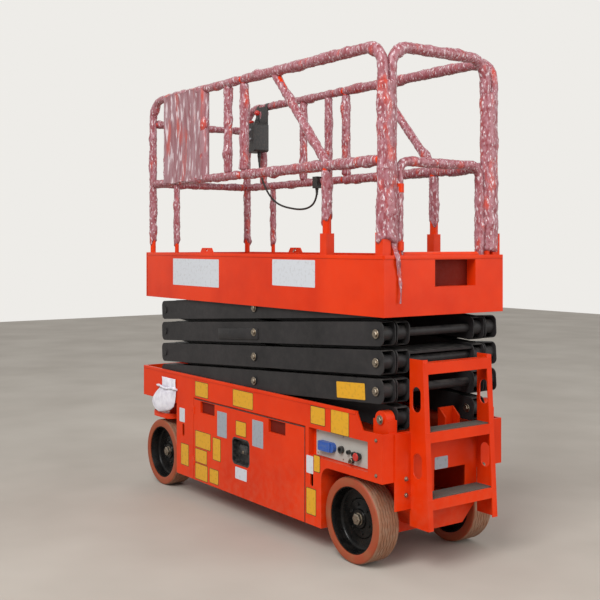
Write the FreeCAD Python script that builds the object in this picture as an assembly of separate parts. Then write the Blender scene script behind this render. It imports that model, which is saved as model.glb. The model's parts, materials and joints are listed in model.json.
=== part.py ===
import FreeCAD, Part
import os
from math import atan2, cos, degrees, hypot, pi, radians, sin, tan

# A self-propelled slab scissor lift, folded down: an orange chassis on four solid wheels, a stack of
# four grey scissor levels, and a platform with guard rails, an entry gate and a roll-out deck.
# Millimetres. +X is the steering end, +Y the left side, +Z up. The origin is on the floor, under the
# middle of the machine.

V = FreeCAD.Vector

# Overall
half_width = 378.0          # outside of the chassis skins and of the platform side plates
half_length = 1210.0        # from the middle to the front plate, and to the ladder's foot
skin = 8.0                  # chassis plate
run_gap = 5.0               # between pieces that move past each other
pin_gap = 0.05              # radial play of a pin in its bore
open_gap = 0.4              # radial play at the pivots where the linkage is opened
seat_gap = 0.3              # play of a piece that only rests on its seat
past = 1.0                  # how far a cutter reaches beyond what it cuts

# Wheels
wheel_r = 198.0
tread_width = 125.0
tread_seat_r = 137.0        # where the tread is bonded to the rim
tread_shoulder = 13.0
rim_wall = 7.0
rim_inset = 6.0             # of the rim's edges from the tread's
dish_t = 10.0
dish_at = -22.0             # inner face of the dish, from the wheel's middle
dish_ring_r = 92.0
dish_ring_t = 5.0
hub_r = 42.0
hub_in = 38.0               # the hub reaches this far inwards from the wheel's middle
hub_out = -2.0              # and this far outwards
stub_r = 20.0
nut_r = 23.0
nut_len = 15.0
wheel_inset = 16.0
wheel_face_y = half_width - wheel_inset
wheel_mid_y = wheel_face_y - tread_width / 2
axle_z = wheel_r

# Chassis, along X
ladder_foot_depth = 125.0
ladder_top_depth = 85.0
front_overhang = 210.0      # from the steered axle to the front plate
rear_overhang = 240.0       # from the rear axle to the chassis' rear face
steer_arm_reach = 132.0     # from the steered axle back to the tie rod
steer_room = 100.0          # from the tie rod back to the bulkhead
arch_gap = 7.0              # from the rear wheel's tread to the skirt ahead of it
chassis_rear_x = ladder_foot_depth - half_length
stile_rear_top_x = chassis_rear_x - ladder_top_depth
front_axle_x = half_length - front_overhang
rear_axle_x = chassis_rear_x + rear_overhang
steer_arm_x = front_axle_x - steer_arm_reach
bulkhead_x = steer_arm_x - steer_room
skirt_front_x = bulkhead_x + 2 * skin - past
skirt_rear_x = rear_axle_x + wheel_r + arch_gap
arch_corner_r = 60.0

# Chassis, along Y and Z
sill_top = 710.0
sill_bottom = 527.0
rear_sill_drop = 80.0
rear_sill_len = 180.0       # from the rear face to where the sill starts to rise
rear_sill_slope = 45.0
rear_sill_top = sill_top - rear_sill_drop
rear_sill_start_x = chassis_rear_x + rear_sill_len
skirt_bottom = 115.0
arch_room = 16.0            # above the rear wheel
arch_top = 2 * wheel_r + arch_room
deck_top = 600.0
web_inset = 220.0
spine_y = half_width - web_inset          # outside of the two webs between the side bays
spine_front_y = 70.0        # half width of the beam over the steering
rear_box_gap = 28.0         # between a rear wheel and the box between the wheels
rear_box_y = wheel_face_y - tread_width - rear_box_gap
rear_box_bottom = 168.0
rear_box_slope = 95.0       # the box's lower corners are cut off this far in
lip = 4.0                   # how far the sill's top edge turns inwards past the skin
axle_beam_half = 75.0
motor_r = 68.0
window_y = (-132.0, 67.0)   # opening in the rear face, behind the ladder
window_top = 435.0
window_height = 130.0
rest_y = (-136.0, -40.0)    # bracket in the middle of the deck's rear end
rest_x = (38.0, 88.0)       # from the rear face
rest_top = 700.0

# Ground control panel, let into the left skin
recess_x = (100.0, 545.0)   # from the chassis' rear face
recess_z = (448.0, 584.0)
recess_depth = 34.0
recess_wall = 4.0
panel_t = 3.0
panel_margin = 4.0
panel_front = 22.0          # bare stretch of the recess ahead of the panel
socket_spots = ((323.0, 508.0, 17.0), (267.0, 506.0, 10.0), (229.0, 503.0, 12.0))   # x, z, radius
stop_spot = (193.0, 499.0, 20.0)
switch_spot = (243.0, 471.0, 13.0)
socket_len = 15.0
stop_len = 26.0
charger_x = (366.0, 483.0)
charger_z = (484.0, 530.0)
charger_depth = 24.0
charger_cap_r = 23.0

# Tie-down slots through the skins
lash_r = 12.0
lash_front = (66.0, 380.0, 37.0)    # behind the bulkhead, middle height, half height
lash_rear = (76.0, 334.0, 34.0)     # ahead of the rear arch, middle height, half height

# Side bay doors with their trays
door_front_gap = 186.0      # from the bulkhead back to the door
door_rear_gap = 127.0       # from the rear arch to the door
door_front_x = bulkhead_x - door_front_gap
door_rear_x = skirt_rear_x + door_rear_gap
door_drop = 15.0
door_top = deck_top - door_drop
door_gap = 4.0
door_skin = 6.0
tray_depth = 196.0
tray_plate = 5.0
tray_lip = 40.0
tray_rear_x = door_rear_x + 58.0
tray_front_x = door_front_x - 62.0
hinge_back = 8.0            # of the hinge's axis from the door's front end
hinge_x = door_front_x - hinge_back
hinge_in = 1.0               # how far inside the skin's face the hinge's axis lies
hinge_r = 7.0
hinge_len = 44.0
hinge_z = (200.0, 490.0)
hinge_leaf_t = 3.0
hinge_leaf_len = 30.0
pocket_drop = 12.0
pocket_height = 66.0
pocket_front = (-236.0, -80.0)      # from the door's front end
pocket_rear = (170.0, 321.0)        # from the door's rear end
pocket_depth = 14.0
latch_x = (-48.0, 127.0)            # from the door's middle
latch_z = (283.0, 429.0)
latch_r = 30.0
latch_frame = 9.0
latch_depth = 34.0
latch_wall = 4.0
tray_margin = 25.0
battery_room = 49.0         # free tray ahead of the last battery
battery_width = 140.0
battery_height = 280.0
battery_gap = 9.0
battery_count = 4
tray_inside = tray_front_x - tray_rear_x - 2 * tray_plate - tray_margin
battery_len = (tray_inside - battery_room - (battery_count - 1) * battery_gap) / battery_count
pump_room = 140.0           # free tray ahead of the pump
pump_motor = (360.0, 120.0, 180.0)  # length, width, height of the pump with its motor
pump_tank = (tray_inside - pump_room - pump_motor[0], 140.0, 230.0)     # and of the oil tank

# Steering
kingpin_inset = 116.0
kingpin_y = half_width - kingpin_inset
kingpin_r = 22.0
kingpin_boss_r = 42.0
kingpin_room = 7.0          # over the kingpin
knuckle_over = 36.0         # of the knuckle's top above the wheel
knuckle_top = 2 * wheel_r + knuckle_over
knuckle_drop = 58.0         # of its leg below the axle
knuckle_leg = (-74.0, -52.0)        # across, from the kingpin
knuckle_half = 55.0
knuckle_plate = 20.0
beam_over = 18.0            # of the front beam above the knuckles
spine_front_bottom = knuckle_top + beam_over
bracket_height = 50.0
bracket_rib_t = 12.0
steer_arm_t = 16.0
steer_arm_y = kingpin_y
tie_eye_r = 24.0
tie_eye_t = 12.0
tie_pin_r = 9.0
tie_rod_r = 11.0

# Scissor stack
levels = 4
level_rise = 128.0
pin_from_rear = 60.0        # from the chassis' rear face to the rear pins
pin_from_front = 255.0      # from the front plate to the front pins
pin_rear_x = chassis_rear_x + pin_from_rear
pin_front_x = half_length - pin_from_front
pin_span = pin_front_x - pin_rear_x
pin_over_deck = 85.0
first_pin_z = deck_top + pin_over_deck
arm_height = 110.0
arm_width = 75.0
arm_wall = 5.0
arm_end = 45.0
arm_corner_r = 30.0
lane_gap = 8.0
outer_lane_inset = 93.0
outer_lane_y = half_width - outer_lane_inset        # inner face of the outer arms
inner_lane_y = outer_lane_y - lane_gap - arm_width  # inner face of the inner arms
boss_r = 34.0
pin_r = 20.0
centre_pin_r = 18.0
head_r = 23.0
head_t = 6.0
cross_r = 25.0
roller_r = 30.0
roller_w = 58.0
lug_t = 50.0
lug_half = 52.0
lug_top_r = 40.0
raised_angle = 62.0         # of the arms, at the top of the lift
track_spare = 105.0         # past the rollers' travel
ledge_t = 8.0
stiffener_along = (-35.0, 115.0)    # flat plate between the inner arms of the third level, along the arm
stiffener_up = (34.0, 44.0)

# Lift cylinder
barrel_at = 0.93            # along arm a2, from its rear pin
rod_at = 0.57               # along arm a3, from its rear pin
barrel_r = 40.0
barrel_collar = 5.0
barrel_collar_len = 36.0
barrel_eye_r = 44.0
barrel_eye_w = 64.0
barrel_shaft_r = 22.0
barrel_stop = 80.0          # from the rod's eye to the barrel's end, closed
barrel_base_t = 90.0
rod_base_t = 10.0           # from the rod's inner end to the bore's
bore_gap = 0.1
rod_r = 22.0
rod_eye_r = 34.0
rod_eye_w = 48.0
rod_pin_r = 16.0
ear_t = 12.0
ear_r = 30.0
ear_bar_r = 22.0
ear_bar_along = 42.0
ear_bar_up = 46.0
ear_tip = ((18.0, -6.0), (-14.0, 14.0))     # the ears' two corners on the bar, from its middle

# Ladder
stile_inset = 161.0
stile_y = half_width - stile_inset
stile_t = 6.0
stile_over_deck = 355.0
stile_top = deck_top + stile_over_deck
stile_bottom = 205.0
stile_flange = 30.0
handhold_drop = (179.0, 474.0)      # from the stile's top
handhold_half = 57.0
handhold_r = 28.0
tread_z = (340.0, 634.0)    # tops of the two treads
tread_height = 46.0
tread_plate = 5.0
top_bar_drop = (65.0, 15.0)
top_bar_depth = 50.0
pad_t = 4.0
pad_margin = 12.0
foot_plate_y = 309.0        # outer edge of the plates that bolt the stiles on
foot_plate_z = (283.0, 625.0)

# Platform
platform_rear_x = chassis_rear_x - 10.0
front_plate_back = 50.0     # of the deck's front end from the chassis' front
platform_front_x = half_length - front_plate_back
deck_over_pin = 65.0
deck_z = first_pin_z + levels * level_rise + deck_over_pin
deck_t = 8.0
side_plate_t = 6.0
side_below = 117.0
side_above = 156.0
side_bottom = deck_z - side_below
side_top = deck_z + side_above
rib_t = 6.0
rib_height = 40.0
rib_places = (-700.0, -300.0, 100.0, 500.0, 900.0)
front_rib_height = 60.0
pocket_y = (-191.0, 70.0)   # foot pocket in the rear toe board
pocket_wall = 4.0
pocket_room = 60.0
pocket_top_drop = 20.0
roll_plate_t = 5.0
roll_gap = 5.0
roll_inset = 33.0
roll_half = half_width - roll_inset
roll_toe_t = 8.0
roll_front_t = 9.0
roll_front_out = 15.0
roll_front_x = platform_front_x + roll_front_out
roll_rear_back = 235.0      # of the roll-out deck's rear end from the rails' mouths
glide_len = 50.0
glide_y = (95.0, 15.0)      # from the roll-out deck's edge
glide_inset = 10.0
track_t = 8.0
track_web = 6.0
track_front = 90.0          # past the front pins
anchor_x = (446.0, 615.0)   # lanyard anchors on the left and the right
anchor_half = 72.0
anchor_height = 30.0
anchor_seat = 20.0
anchor_t = 8.0
anchor_hole_r = 9.0
anchor_hole_up = 15.0

# Guard rails
rail_inset = 29.0
rail_y = half_width - rail_inset
rail_r = 21.0
rail_wall = 2.5
brace_r = 16.8
slide_rail_r = 16.5
slide_post_r = 15.5
lower_post_r = 12.0
top_rail_height = 1086.0    # above the deck
mid_rail_height = 573.0
post_foot_z = deck_z + deck_t
top_rail_z = post_foot_z + top_rail_height
mid_rail_z = post_foot_z + mid_rail_height
rear_post_in = 40.0
rear_post_x = platform_rear_x + rear_post_in
second_post_x = rear_post_x + 408.0
diagonal_top_x = second_post_x + 441.0
mouth_x = platform_rear_x + 1195.0
mouth_post_x = mouth_x - brace_r
socket_half = 25.0
socket_top = side_top + 102.0
corner_bend_r = 100.0
front_bend_r = 120.0
front_post_x = platform_front_x - 20.0
slide_len = 1030.0          # of the slide rails inside the main rails
slide_rear_x = mouth_x - slide_len
bore_past = 20.0
slide_posts = (mouth_x + 150.0, mouth_x + 402.0, front_post_x - 195.0)
lower_post_x = front_post_x - 307.0
roll_rear_x = mouth_x - roll_rear_back
entry_inset = 78.0
entry_outer_y = half_width - entry_inset
gate_inset = 121.0
gate_y = half_width - gate_inset
gate_r = 17.0
gate_bar_r = 13.6
gate_bend_r = 60.0
gate_bottom = 55.0          # heights above the deck
gate_eyes = (170.0, 430.0)
gate_bar = 150.0
gate_eye_len = 40.0
gate_eye_wall = 8.0
gate_collar = 4.0
gate_collar_len = 12.0

# Platform control box
control_x = (front_post_x - 290.0, front_post_x - 130.0)
control_in = 24.0           # of the box's outer face from the rails' line
control_y = control_in - rail_y
control_depth = 110.0
control_z = (top_rail_z - 296.0, top_rail_z - 116.0)
control_corner_r = 14.0
control_plate_t = 7.0
control_plate_up = 30.0
clamp_w = 30.0
clamp_t = 7.0
clamp_in = (15.0, 115.0)    # of the two clamps from the box's rear end
stick_r = 8.0
stick_len = 70.0
stick_in = 50.0             # from the box's rear end
knob_r = 17.0

# Control cable, from the box's gland to a terminal box under the right-hand middle rail
cable_d = 12.0
gland_r = 11.0
gland_len = 25.0
gland_in = 40.0             # from the box's outer face
cable_exit = V(control_x[0] + stick_in, control_y + gland_in, control_z[0] - gland_len)
terminal_back = 550.0       # from the box's rear end back to the terminal's
terminal_len = 45.0
terminal_x = (control_x[0] - terminal_back, control_x[0] - terminal_back + terminal_len)
terminal_y = (12.0 - rail_y, 49.0 - rail_y)
terminal_z = (mid_rail_z - 40.0, mid_rail_z + 29.0)
cable_end = V(terminal_x[0] + 24.0, terminal_y[0] + 19.0, terminal_z[0])
cable_route = ((0, 0, 0), (0, 0, -50), (-7, -9, -120), (-28, -22, -190), (-65, -31, -248), (-130, -33, -297),
               (-210, -34, -327), (-300, -33, -343), (-390, -34, -354), (-470, -35, -351), (-530, -34, -332),
               (-560, -33, -304), (-576, -33, -268), (-576, -33, -232))


def box(x, y, z):
    return Part.makeBox(x[1] - x[0], y[1] - y[0], z[1] - z[0], V(x[0], y[0], z[0]))


def rod(radius, start, end):
    run = end - start
    return Part.makeCylinder(radius, run.Length, start, run)


def pipe(radius, wall, start, end):
    return rod(radius, start, end).cut(rod(radius - wall, start, end))


def flat(points, low, thick, normal="y"):
    # A plate from its outline: (x, z) points stand across Y, (x, y) points lie across Z, (y, z) across X.
    place = {"y": lambda a, b: V(a, low, b), "z": lambda a, b: V(a, b, low), "x": lambda a, b: V(low, a, b)}
    out = {"y": V(0, thick, 0), "z": V(0, 0, thick), "x": V(thick, 0, 0)}
    ring = [place[normal](a, b) for a, b in points]
    return Part.Face(Part.makePolygon(ring + ring[:1])).extrude(out[normal])


def fused(shapes):
    whole = shapes[0].multiFuse(shapes[1:]) if len(shapes) > 1 else shapes[0]
    return whole.removeSplitter()


def cut_out(shape, tools):
    return shape.cut(Part.makeCompound(tools)) if tools else shape


def mirrored(shape):
    return shape.mirror(V(0, 0, 0), V(0, 1, 0))


def both_sides(shape):
    return [shape, mirrored(shape)]


def rounded_box(x, y, z, radius, along="y"):
    # A block whose four edges along one axis are rounded.
    block = box(x, y, z)
    edges = [e for e in block.Edges if abs(getattr(e.tangentAt(e.FirstParameter), along)) > 0.9]
    return block.makeFillet(radius, edges)


def slot_cutter(x, z, half, radius, y):
    # An upright oval hole through plates across Y.
    return fused([box((x - radius, x + radius), y, (z - half + radius, z + half - radius)),
                  rod(radius, V(x, y[0], z - half + radius), V(x, y[1], z - half + radius)),
                  rod(radius, V(x, y[0], z + half - radius), V(x, y[1], z + half - radius))])


def bent_tube(points, radii, radius):
    # A bar along straight runs joined by tangent arcs, one radius for each inner point.
    runs, start = [], points[0]
    for here, ahead, bend in zip(points[1:-1], points[2:], radii):
        back = (start - here).normalize()
        on = (ahead - here).normalize()
        half = back.getAngle(on) / 2
        reach = bend / tan(half)
        first, last = here + back * reach, here + on * reach
        middle = here + (back + on).normalize() * (bend / sin(half) - bend)
        runs += [Part.LineSegment(start, first).toShape(), Part.Arc(first, middle, last).toShape()]
        start = last
    runs.append(Part.LineSegment(start, points[-1]).toShape())
    path = Part.Wire(runs)
    ring = Part.Wire(Part.makeCircle(radius, points[0], points[1] - points[0]))
    return path.makePipeShell([ring], True, False), path.Length


def save(name, shapes):
    solids = [s for shape in shapes for s in shape.Solids]
    whole = solids[0] if len(solids) == 1 else Part.makeCompound(solids)
    whole.exportStep("parts/" + name + ".step")
    b = whole.BoundBox
    print("%-18s %2d  x %7.1f %7.1f  y %7.1f %7.1f  z %7.1f %7.1f  ok %s" % (
        name, len(solids), b.XMin, b.XMax, b.YMin, b.YMax, b.ZMin, b.ZMax, whole.isValid()))


# Wheels

def wheel(x, side):
    # The tread and the rim, at their place; side is +1 on the left and -1 on the right.
    half = tread_width / 2
    tread = rod(wheel_r, V(0, -half, 0), V(0, half, 0))
    tread = tread.makeChamfer(tread_shoulder, [e for e in tread.Edges if e.Curve.TypeId == "Part::GeomCircle"])
    tread = tread.cut(rod(tread_seat_r, V(0, -half, 0), V(0, half, 0)))
    rim_half = half - rim_inset
    barrel = pipe(tread_seat_r, rim_wall, V(0, -rim_half, 0), V(0, rim_half, 0))
    dish = rod(tread_seat_r - rim_wall, V(0, dish_at, 0), V(0, dish_at + dish_t, 0))
    ring = rod(dish_ring_r, V(0, dish_at + dish_t, 0), V(0, dish_at + dish_t + dish_ring_t, 0))
    hub = rod(hub_r, V(0, -hub_in, 0), V(0, hub_out, 0))
    rim = fused([barrel, dish, ring, hub]).cut(rod(stub_r + pin_gap, V(0, -half, 0), V(0, half, 0)))
    place = V(x, wheel_mid_y, axle_z)
    tread.translate(place)
    rim.translate(place)
    return [tread, rim] if side > 0 else [mirrored(tread), mirrored(rim)]


def stub_axle(x, inner_y):
    # The axle end that a wheel turns on, with its nut outside the hub.
    nut_y = wheel_mid_y + hub_out + seat_gap
    return [rod(stub_r, V(x, inner_y, axle_z), V(x, nut_y, axle_z)),
            rod(nut_r, V(x, nut_y, axle_z), V(x, nut_y + nut_len, axle_z))]


def rear_axle():
    # One rear wheel motor on the axle beam's end, with its stub.
    end = wheel_mid_y - hub_in - seat_gap
    motor = rod(motor_r, V(rear_axle_x, rear_box_y, axle_z), V(rear_axle_x, end, axle_z))
    return fused([motor] + stub_axle(rear_axle_x, rear_box_y))


# Chassis

def side_skin():
    y = half_width - skin
    outline = [(half_length, sill_top), (half_length, sill_bottom), (skirt_front_x, sill_bottom),
               (skirt_front_x, skirt_bottom), (skirt_rear_x, skirt_bottom), (skirt_rear_x, arch_top),
               (chassis_rear_x, arch_top), (chassis_rear_x, rear_sill_top),
               (rear_sill_start_x - rear_sill_slope, rear_sill_top), (rear_sill_start_x, sill_top)]
    plate = flat(outline, y, skin)
    corner = [e for e in plate.Edges if abs(e.BoundBox.XMin - skirt_rear_x) < 0.1 and
              e.BoundBox.XLength < 0.1 and abs(e.BoundBox.ZMin - arch_top) < 0.1]
    plate = plate.makeFillet(arch_corner_r, corner)
    turned = box((rear_sill_start_x, half_length - skin), (y - lip, y), (sill_top - skin, sill_top))
    through = (y - past, half_width + past)
    opening = box((door_rear_x, door_front_x), through, (skirt_bottom - past, door_top))
    back, middle, half = lash_front
    slots = [slot_cutter(bulkhead_x - back, middle, half, lash_r, through)]
    ahead, middle, half = lash_rear
    slots.append(slot_cutter(skirt_rear_x + ahead, middle, half, lash_r, through))
    return cut_out(fused([plate, turned]), [opening] + slots)


def recess_room():
    # The hollow that the ground control panel lies in.
    return box([chassis_rear_x + x for x in recess_x], (half_width - recess_depth, half_width + past), recess_z)


def recess_box():
    x = (chassis_rear_x + recess_x[0] - recess_wall, chassis_rear_x + recess_x[1] + recess_wall)
    z = (recess_z[0] - recess_wall, recess_z[1] + recess_wall)
    return box(x, (half_width - recess_depth - recess_wall, half_width - skin), z)


def ground_panel():
    x = (chassis_rear_x + recess_x[0] + panel_margin, chassis_rear_x + recess_x[1] - panel_front)
    y = half_width - recess_depth
    return box(x, (y, y + panel_t), (recess_z[0] + panel_margin, recess_z[1] - panel_margin))


def ground_controls():
    # Sockets, a key switch and the stop button on the panel.
    y = half_width - recess_depth + panel_t
    pieces = []
    for x, z, r in socket_spots:
        at, out = V(chassis_rear_x + x, y, z), V(0, socket_len, 0)
        pieces.append(rod(r, at, at + out).cut(rod(r * 0.6, at + out * 0.4, at + out)))
    x, z, r = switch_spot
    at = V(chassis_rear_x + x, y, z)
    pieces.append(rod(r, at, at + V(0, socket_len / 2, 0)))
    x, z, r = stop_spot
    at = V(chassis_rear_x + x, y, z)
    pieces.append(fused([rod(r * 0.7, at, at + V(0, stop_len / 2, 0)),
                         rod(r, at + V(0, stop_len / 2, 0), at + V(0, stop_len, 0))]))
    return pieces


def charge_socket():
    # The charger inlet: a block with a round sprung cap beside it.
    y = half_width - recess_depth + panel_t
    x = [chassis_rear_x + along for along in charger_x]
    body = rounded_box((x[0] + charger_cap_r, x[1]), (y, y + charger_depth), charger_z, 8.0)
    at = V(x[0] + charger_cap_r, y, sum(charger_z) / 2)
    cap = rod(charger_cap_r, at, at + V(0, charger_depth * 0.8, 0))
    return fused([body, cap])


def chassis_frame():
    y = half_width - skin
    inside_rear, inside_front = skirt_rear_x + skin, bulkhead_x - skin
    deck_bottom = deck_top - skin
    deck = box((chassis_rear_x + skin, half_length - skin), (-y, y), (deck_bottom, deck_top))
    floor = box((inside_rear, inside_front), (-y, y), (skirt_bottom, skirt_bottom + skin))
    front_wall = box((inside_front, bulkhead_x), (-y, y), (skirt_bottom, deck_bottom))
    front_roof = box((bulkhead_x, half_length - skin), (-y, y), (sill_bottom, sill_bottom + skin))
    front_plate = box((half_length - skin, half_length), (-y, y), (sill_bottom, sill_top))
    beam = box((bulkhead_x, half_length - skin), (-spine_front_y, spine_front_y),
               (spine_front_bottom, sill_bottom))
    beam = beam.cut(box((bulkhead_x, half_length - 2 * skin), (skin - spine_front_y, spine_front_y - skin),
                        (spine_front_bottom + skin, sill_bottom)))
    web = box((inside_rear, inside_front), (spine_y - skin, spine_y), (skirt_bottom + skin, deck_bottom))
    room = box((chassis_rear_x, skirt_rear_x), (rear_box_y - skin, y + past), (0, arch_top))
    room_edge = [e for e in room.Edges
                 if e.BoundBox.XMin > skirt_rear_x - past and e.BoundBox.ZMin > arch_top - past]
    liner = box((chassis_rear_x + skin, inside_rear), (rear_box_y, y), (skirt_bottom, arch_top + skin)).cut(
        room.makeFillet(arch_corner_r, room_edge))
    rear_wall = box((skirt_rear_x, inside_rear), (-rear_box_y, rear_box_y), (skirt_bottom, deck_bottom))
    pieces = [deck, floor, front_wall, front_roof, front_plate, beam, rear_wall, rear_box(), rear_face(),
              rest_bracket()]
    for half in (web, liner):
        pieces += both_sides(half)
    return fused(pieces)


def rear_outline(inset, top):
    # The box between the rear wheels in section, with its lower corners cut off.
    outer, low = rear_box_y - inset, rear_box_bottom + inset
    slope_y, slope_z = rear_box_y - rear_box_slope - inset * 0.4, rear_box_bottom + rear_box_slope + inset * 0.4
    left = [(outer, top), (outer, slope_z), (slope_y, low)]
    return left + [(-a, b) for a, b in reversed(left)]


def rear_box():
    # The channel between the rear wheels, crossed by the beam that carries the wheel motors.
    length = skirt_rear_x - chassis_rear_x - skin
    top = deck_top - skin
    outer = flat(rear_outline(0, top), chassis_rear_x + skin, length, "x")
    inner = flat(rear_outline(skin, top), chassis_rear_x + skin, length, "x")
    x = (rear_axle_x - axle_beam_half, rear_axle_x + axle_beam_half)
    z = (axle_z - axle_beam_half, axle_z + axle_beam_half)
    beam = box(x, (-rear_box_y, rear_box_y), z)
    hollow = box((x[0] + skin, x[1] - skin), (-rear_box_y, rear_box_y), (z[0] + skin, z[1] - skin))
    ends = box((x[0] + skin, x[1] - skin), (rear_box_y - skin, rear_box_y), (z[0] + skin, z[1] - skin))
    return fused([outer.cut(inner), beam.cut(hollow)] + both_sides(ends))


def rear_face():
    y = half_width - skin
    box_part = rear_outline(0, arch_top)
    face = [(-y, rear_sill_top), (y, rear_sill_top), (y, arch_top)] + box_part + [(-y, arch_top)]
    plate = flat(face, chassis_rear_x, skin, "x")
    window = box((chassis_rear_x - past, chassis_rear_x + skin + past), window_y,
                 (window_top - window_height, window_top))
    return plate.cut(window)


def rest_bracket():
    # The open bracket that the folded stack's hoses and shafts sit clear over.
    x = (chassis_rear_x + rest_x[0], chassis_rear_x + rest_x[1])
    web = box((x[1] - skin, x[1]), rest_y, (deck_top, rest_top))
    cheek = [(x[0], deck_top), (x[1], deck_top), (x[1], rest_top), (x[1] - skin, rest_top), (x[0], rest_top - 40)]
    return fused([web, flat(cheek, rest_y[0], skin), flat(cheek, rest_y[1] - skin, skin)])


def kingpin_bracket():
    boss = rod(kingpin_boss_r, V(front_axle_x, kingpin_y, knuckle_top + seat_gap),
               V(front_axle_x, kingpin_y, sill_bottom))
    arm = box((front_axle_x - knuckle_half, front_axle_x + knuckle_half), (spine_front_y, kingpin_y),
              (sill_bottom - bracket_height, sill_bottom))
    rib = flat([(spine_front_y, sill_bottom), (spine_front_y, spine_front_bottom),
                (kingpin_y, spine_front_bottom), (kingpin_y, sill_bottom)],
               front_axle_x - bracket_rib_t / 2, bracket_rib_t, "x")
    bore = rod(kingpin_r + pin_gap, V(front_axle_x, kingpin_y, knuckle_top), V(front_axle_x, kingpin_y, sill_bottom))
    return fused([boss, arm, rib]).cut(bore)


def roller_track():
    # The ledge that the lowest front rollers run on, each side.
    top = first_pin_z - roller_r - seat_gap
    mid = (inner_lane_y + outer_lane_y) / 2
    x = (track_rear_x, track_front_x)
    inner = mid - roller_w / 2 - ledge_t
    ledge = box(x, (inner, outer_lane_y - run_gap), (top - ledge_t, top))
    web = box(x, (inner, inner + ledge_t), (deck_top, top - ledge_t))
    return fused([ledge, web])


def scissor_lug(z, foot_z, y):
    # An upright ear with a rounded end round a pin's place.
    block = box((pin_rear_x - lug_half, pin_rear_x + lug_half), (y, y + lug_t), sorted((foot_z, z)))
    crown = rod(lug_top_r, V(pin_rear_x, y, z), V(pin_rear_x, y + lug_t, z))
    return fused([block, crown])


def chassis_lug():
    # The ear that the lowest inner arm hangs on, with its pin and the pin's head.
    z = pin_z(0)
    y = outer_lane_y
    pin = rod(pin_r, V(pin_rear_x, inner_lane_y, z), V(pin_rear_x, y + lug_t, z))
    head = rod(head_r, V(pin_rear_x, y + lug_t, z), V(pin_rear_x, y + lug_t + head_t, z))
    return fused([scissor_lug(z, deck_top, y), pin, head])


def platform_lug():
    z, y = pin_z(levels), inner_lane_y + lane_gap
    bore = rod(pin_r + pin_gap, V(pin_rear_x, y, z), V(pin_rear_x, y + lug_t, z))
    return scissor_lug(z, deck_z, y).cut(bore)


# Doors

def hinge_barrel(low, high):
    y = half_width - hinge_in
    return rod(hinge_r, V(hinge_x, y, low), V(hinge_x, y, high))


def skin_hinges():
    # The fixed half of each hinge: a barrel on a leaf on the skin, on top of the door's own barrel.
    pieces = []
    for z in hinge_z:
        low, high = z + hinge_len / 2 + seat_gap, z + hinge_len
        leaf = box((hinge_x, hinge_x + hinge_leaf_len), (half_width, half_width + hinge_leaf_t), (low, high))
        pieces.append(fused([hinge_barrel(low, high), leaf]))
    return pieces


def pocket_spans():
    return ([door_front_x + x for x in pocket_front], [door_rear_x + x for x in pocket_rear])


def latch_span():
    middle = (door_front_x + door_rear_x) / 2
    return [middle + x for x in latch_x]


def door_panel():
    y = half_width - door_skin
    x = (door_rear_x + door_gap, door_front_x - door_gap)
    z = (door_top - pocket_drop - pocket_height, door_top - pocket_drop)
    plate = box(x, (y, half_width), (skirt_bottom, door_top - door_gap))
    pockets = [box(px, (y - past, half_width + past), z) for px in pocket_spans()]
    hatch = rounded_box(latch_span(), (y - past, half_width + past), latch_z, latch_r)
    plate = cut_out(plate, pockets + [hatch])
    cups = []
    for px in pocket_spans():
        outer = box((px[0] - door_skin, px[1] + door_skin), (y - pocket_depth, y), (z[0] - door_skin, z[1] + door_skin))
        cups.append(outer.cut(box(px, (y - pocket_depth + door_skin, y), z)))
    y = half_width - hinge_in
    for low in hinge_z:
        room = rod(hinge_r + 1.5, V(hinge_x, y, low + hinge_len / 2), V(hinge_x, y, low + hinge_len + past))
        plate = plate.cut(room)
    return fused([plate] + cups + [hinge_barrel(low, low + hinge_len / 2) for low in hinge_z])


def door_latch():
    # A black moulded tray in the door, open to the outside, with its frame proud of the skin.
    y = half_width - door_skin
    span = latch_span()
    shell = rounded_box(span, (y - latch_depth, half_width), latch_z, latch_r)
    x = (span[0] + latch_frame, span[1] - latch_frame)
    z = (latch_z[0] + latch_frame, latch_z[1] - latch_frame)
    return shell.cut(rounded_box(x, (y - latch_depth + latch_wall, half_width + past), z, latch_r - latch_frame))


tray_y = (half_width - door_skin - tray_depth, half_width - door_skin)
tray_z = skirt_bottom + skin + run_gap
tray_top = tray_z + tray_plate


def door_tray():
    z = (tray_z, tray_z + tray_lip)
    floor = box((tray_rear_x, tray_front_x), tray_y, (tray_z, tray_top))
    lips = [box((tray_rear_x, tray_front_x), (tray_y[0], tray_y[0] + tray_plate), z),
            box((tray_rear_x, tray_rear_x + tray_plate), tray_y, z),
            box((tray_front_x - tray_plate, tray_front_x), tray_y, z)]
    return fused([floor] + lips)


def batteries():
    # Four in a row on the left-hand tray.
    y = tray_y[0] + tray_plate + battery_gap
    first = tray_rear_x + tray_plate + tray_margin
    step = battery_len + battery_gap
    return [box((first + i * step, first + i * step + battery_len), (y, y + battery_width),
                (tray_top, tray_top + battery_height)) for i in range(battery_count)]


def hydraulic_unit():
    # The oil tank with the pump and its motor at its end, on the right-hand tray.
    y = tray_y[0] + tray_plate + battery_gap
    x = tray_rear_x + tray_plate + tray_margin
    tank = box((x, x + pump_tank[0]), (y, y + pump_tank[1]), (tray_top, tray_top + pump_tank[2]))
    x += pump_tank[0]
    pump = box((x, x + pump_motor[0]), (y, y + pump_motor[1]), (tray_top, tray_top + pump_motor[2]))
    return mirrored(fused([tank, pump]))


# Steering

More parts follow.
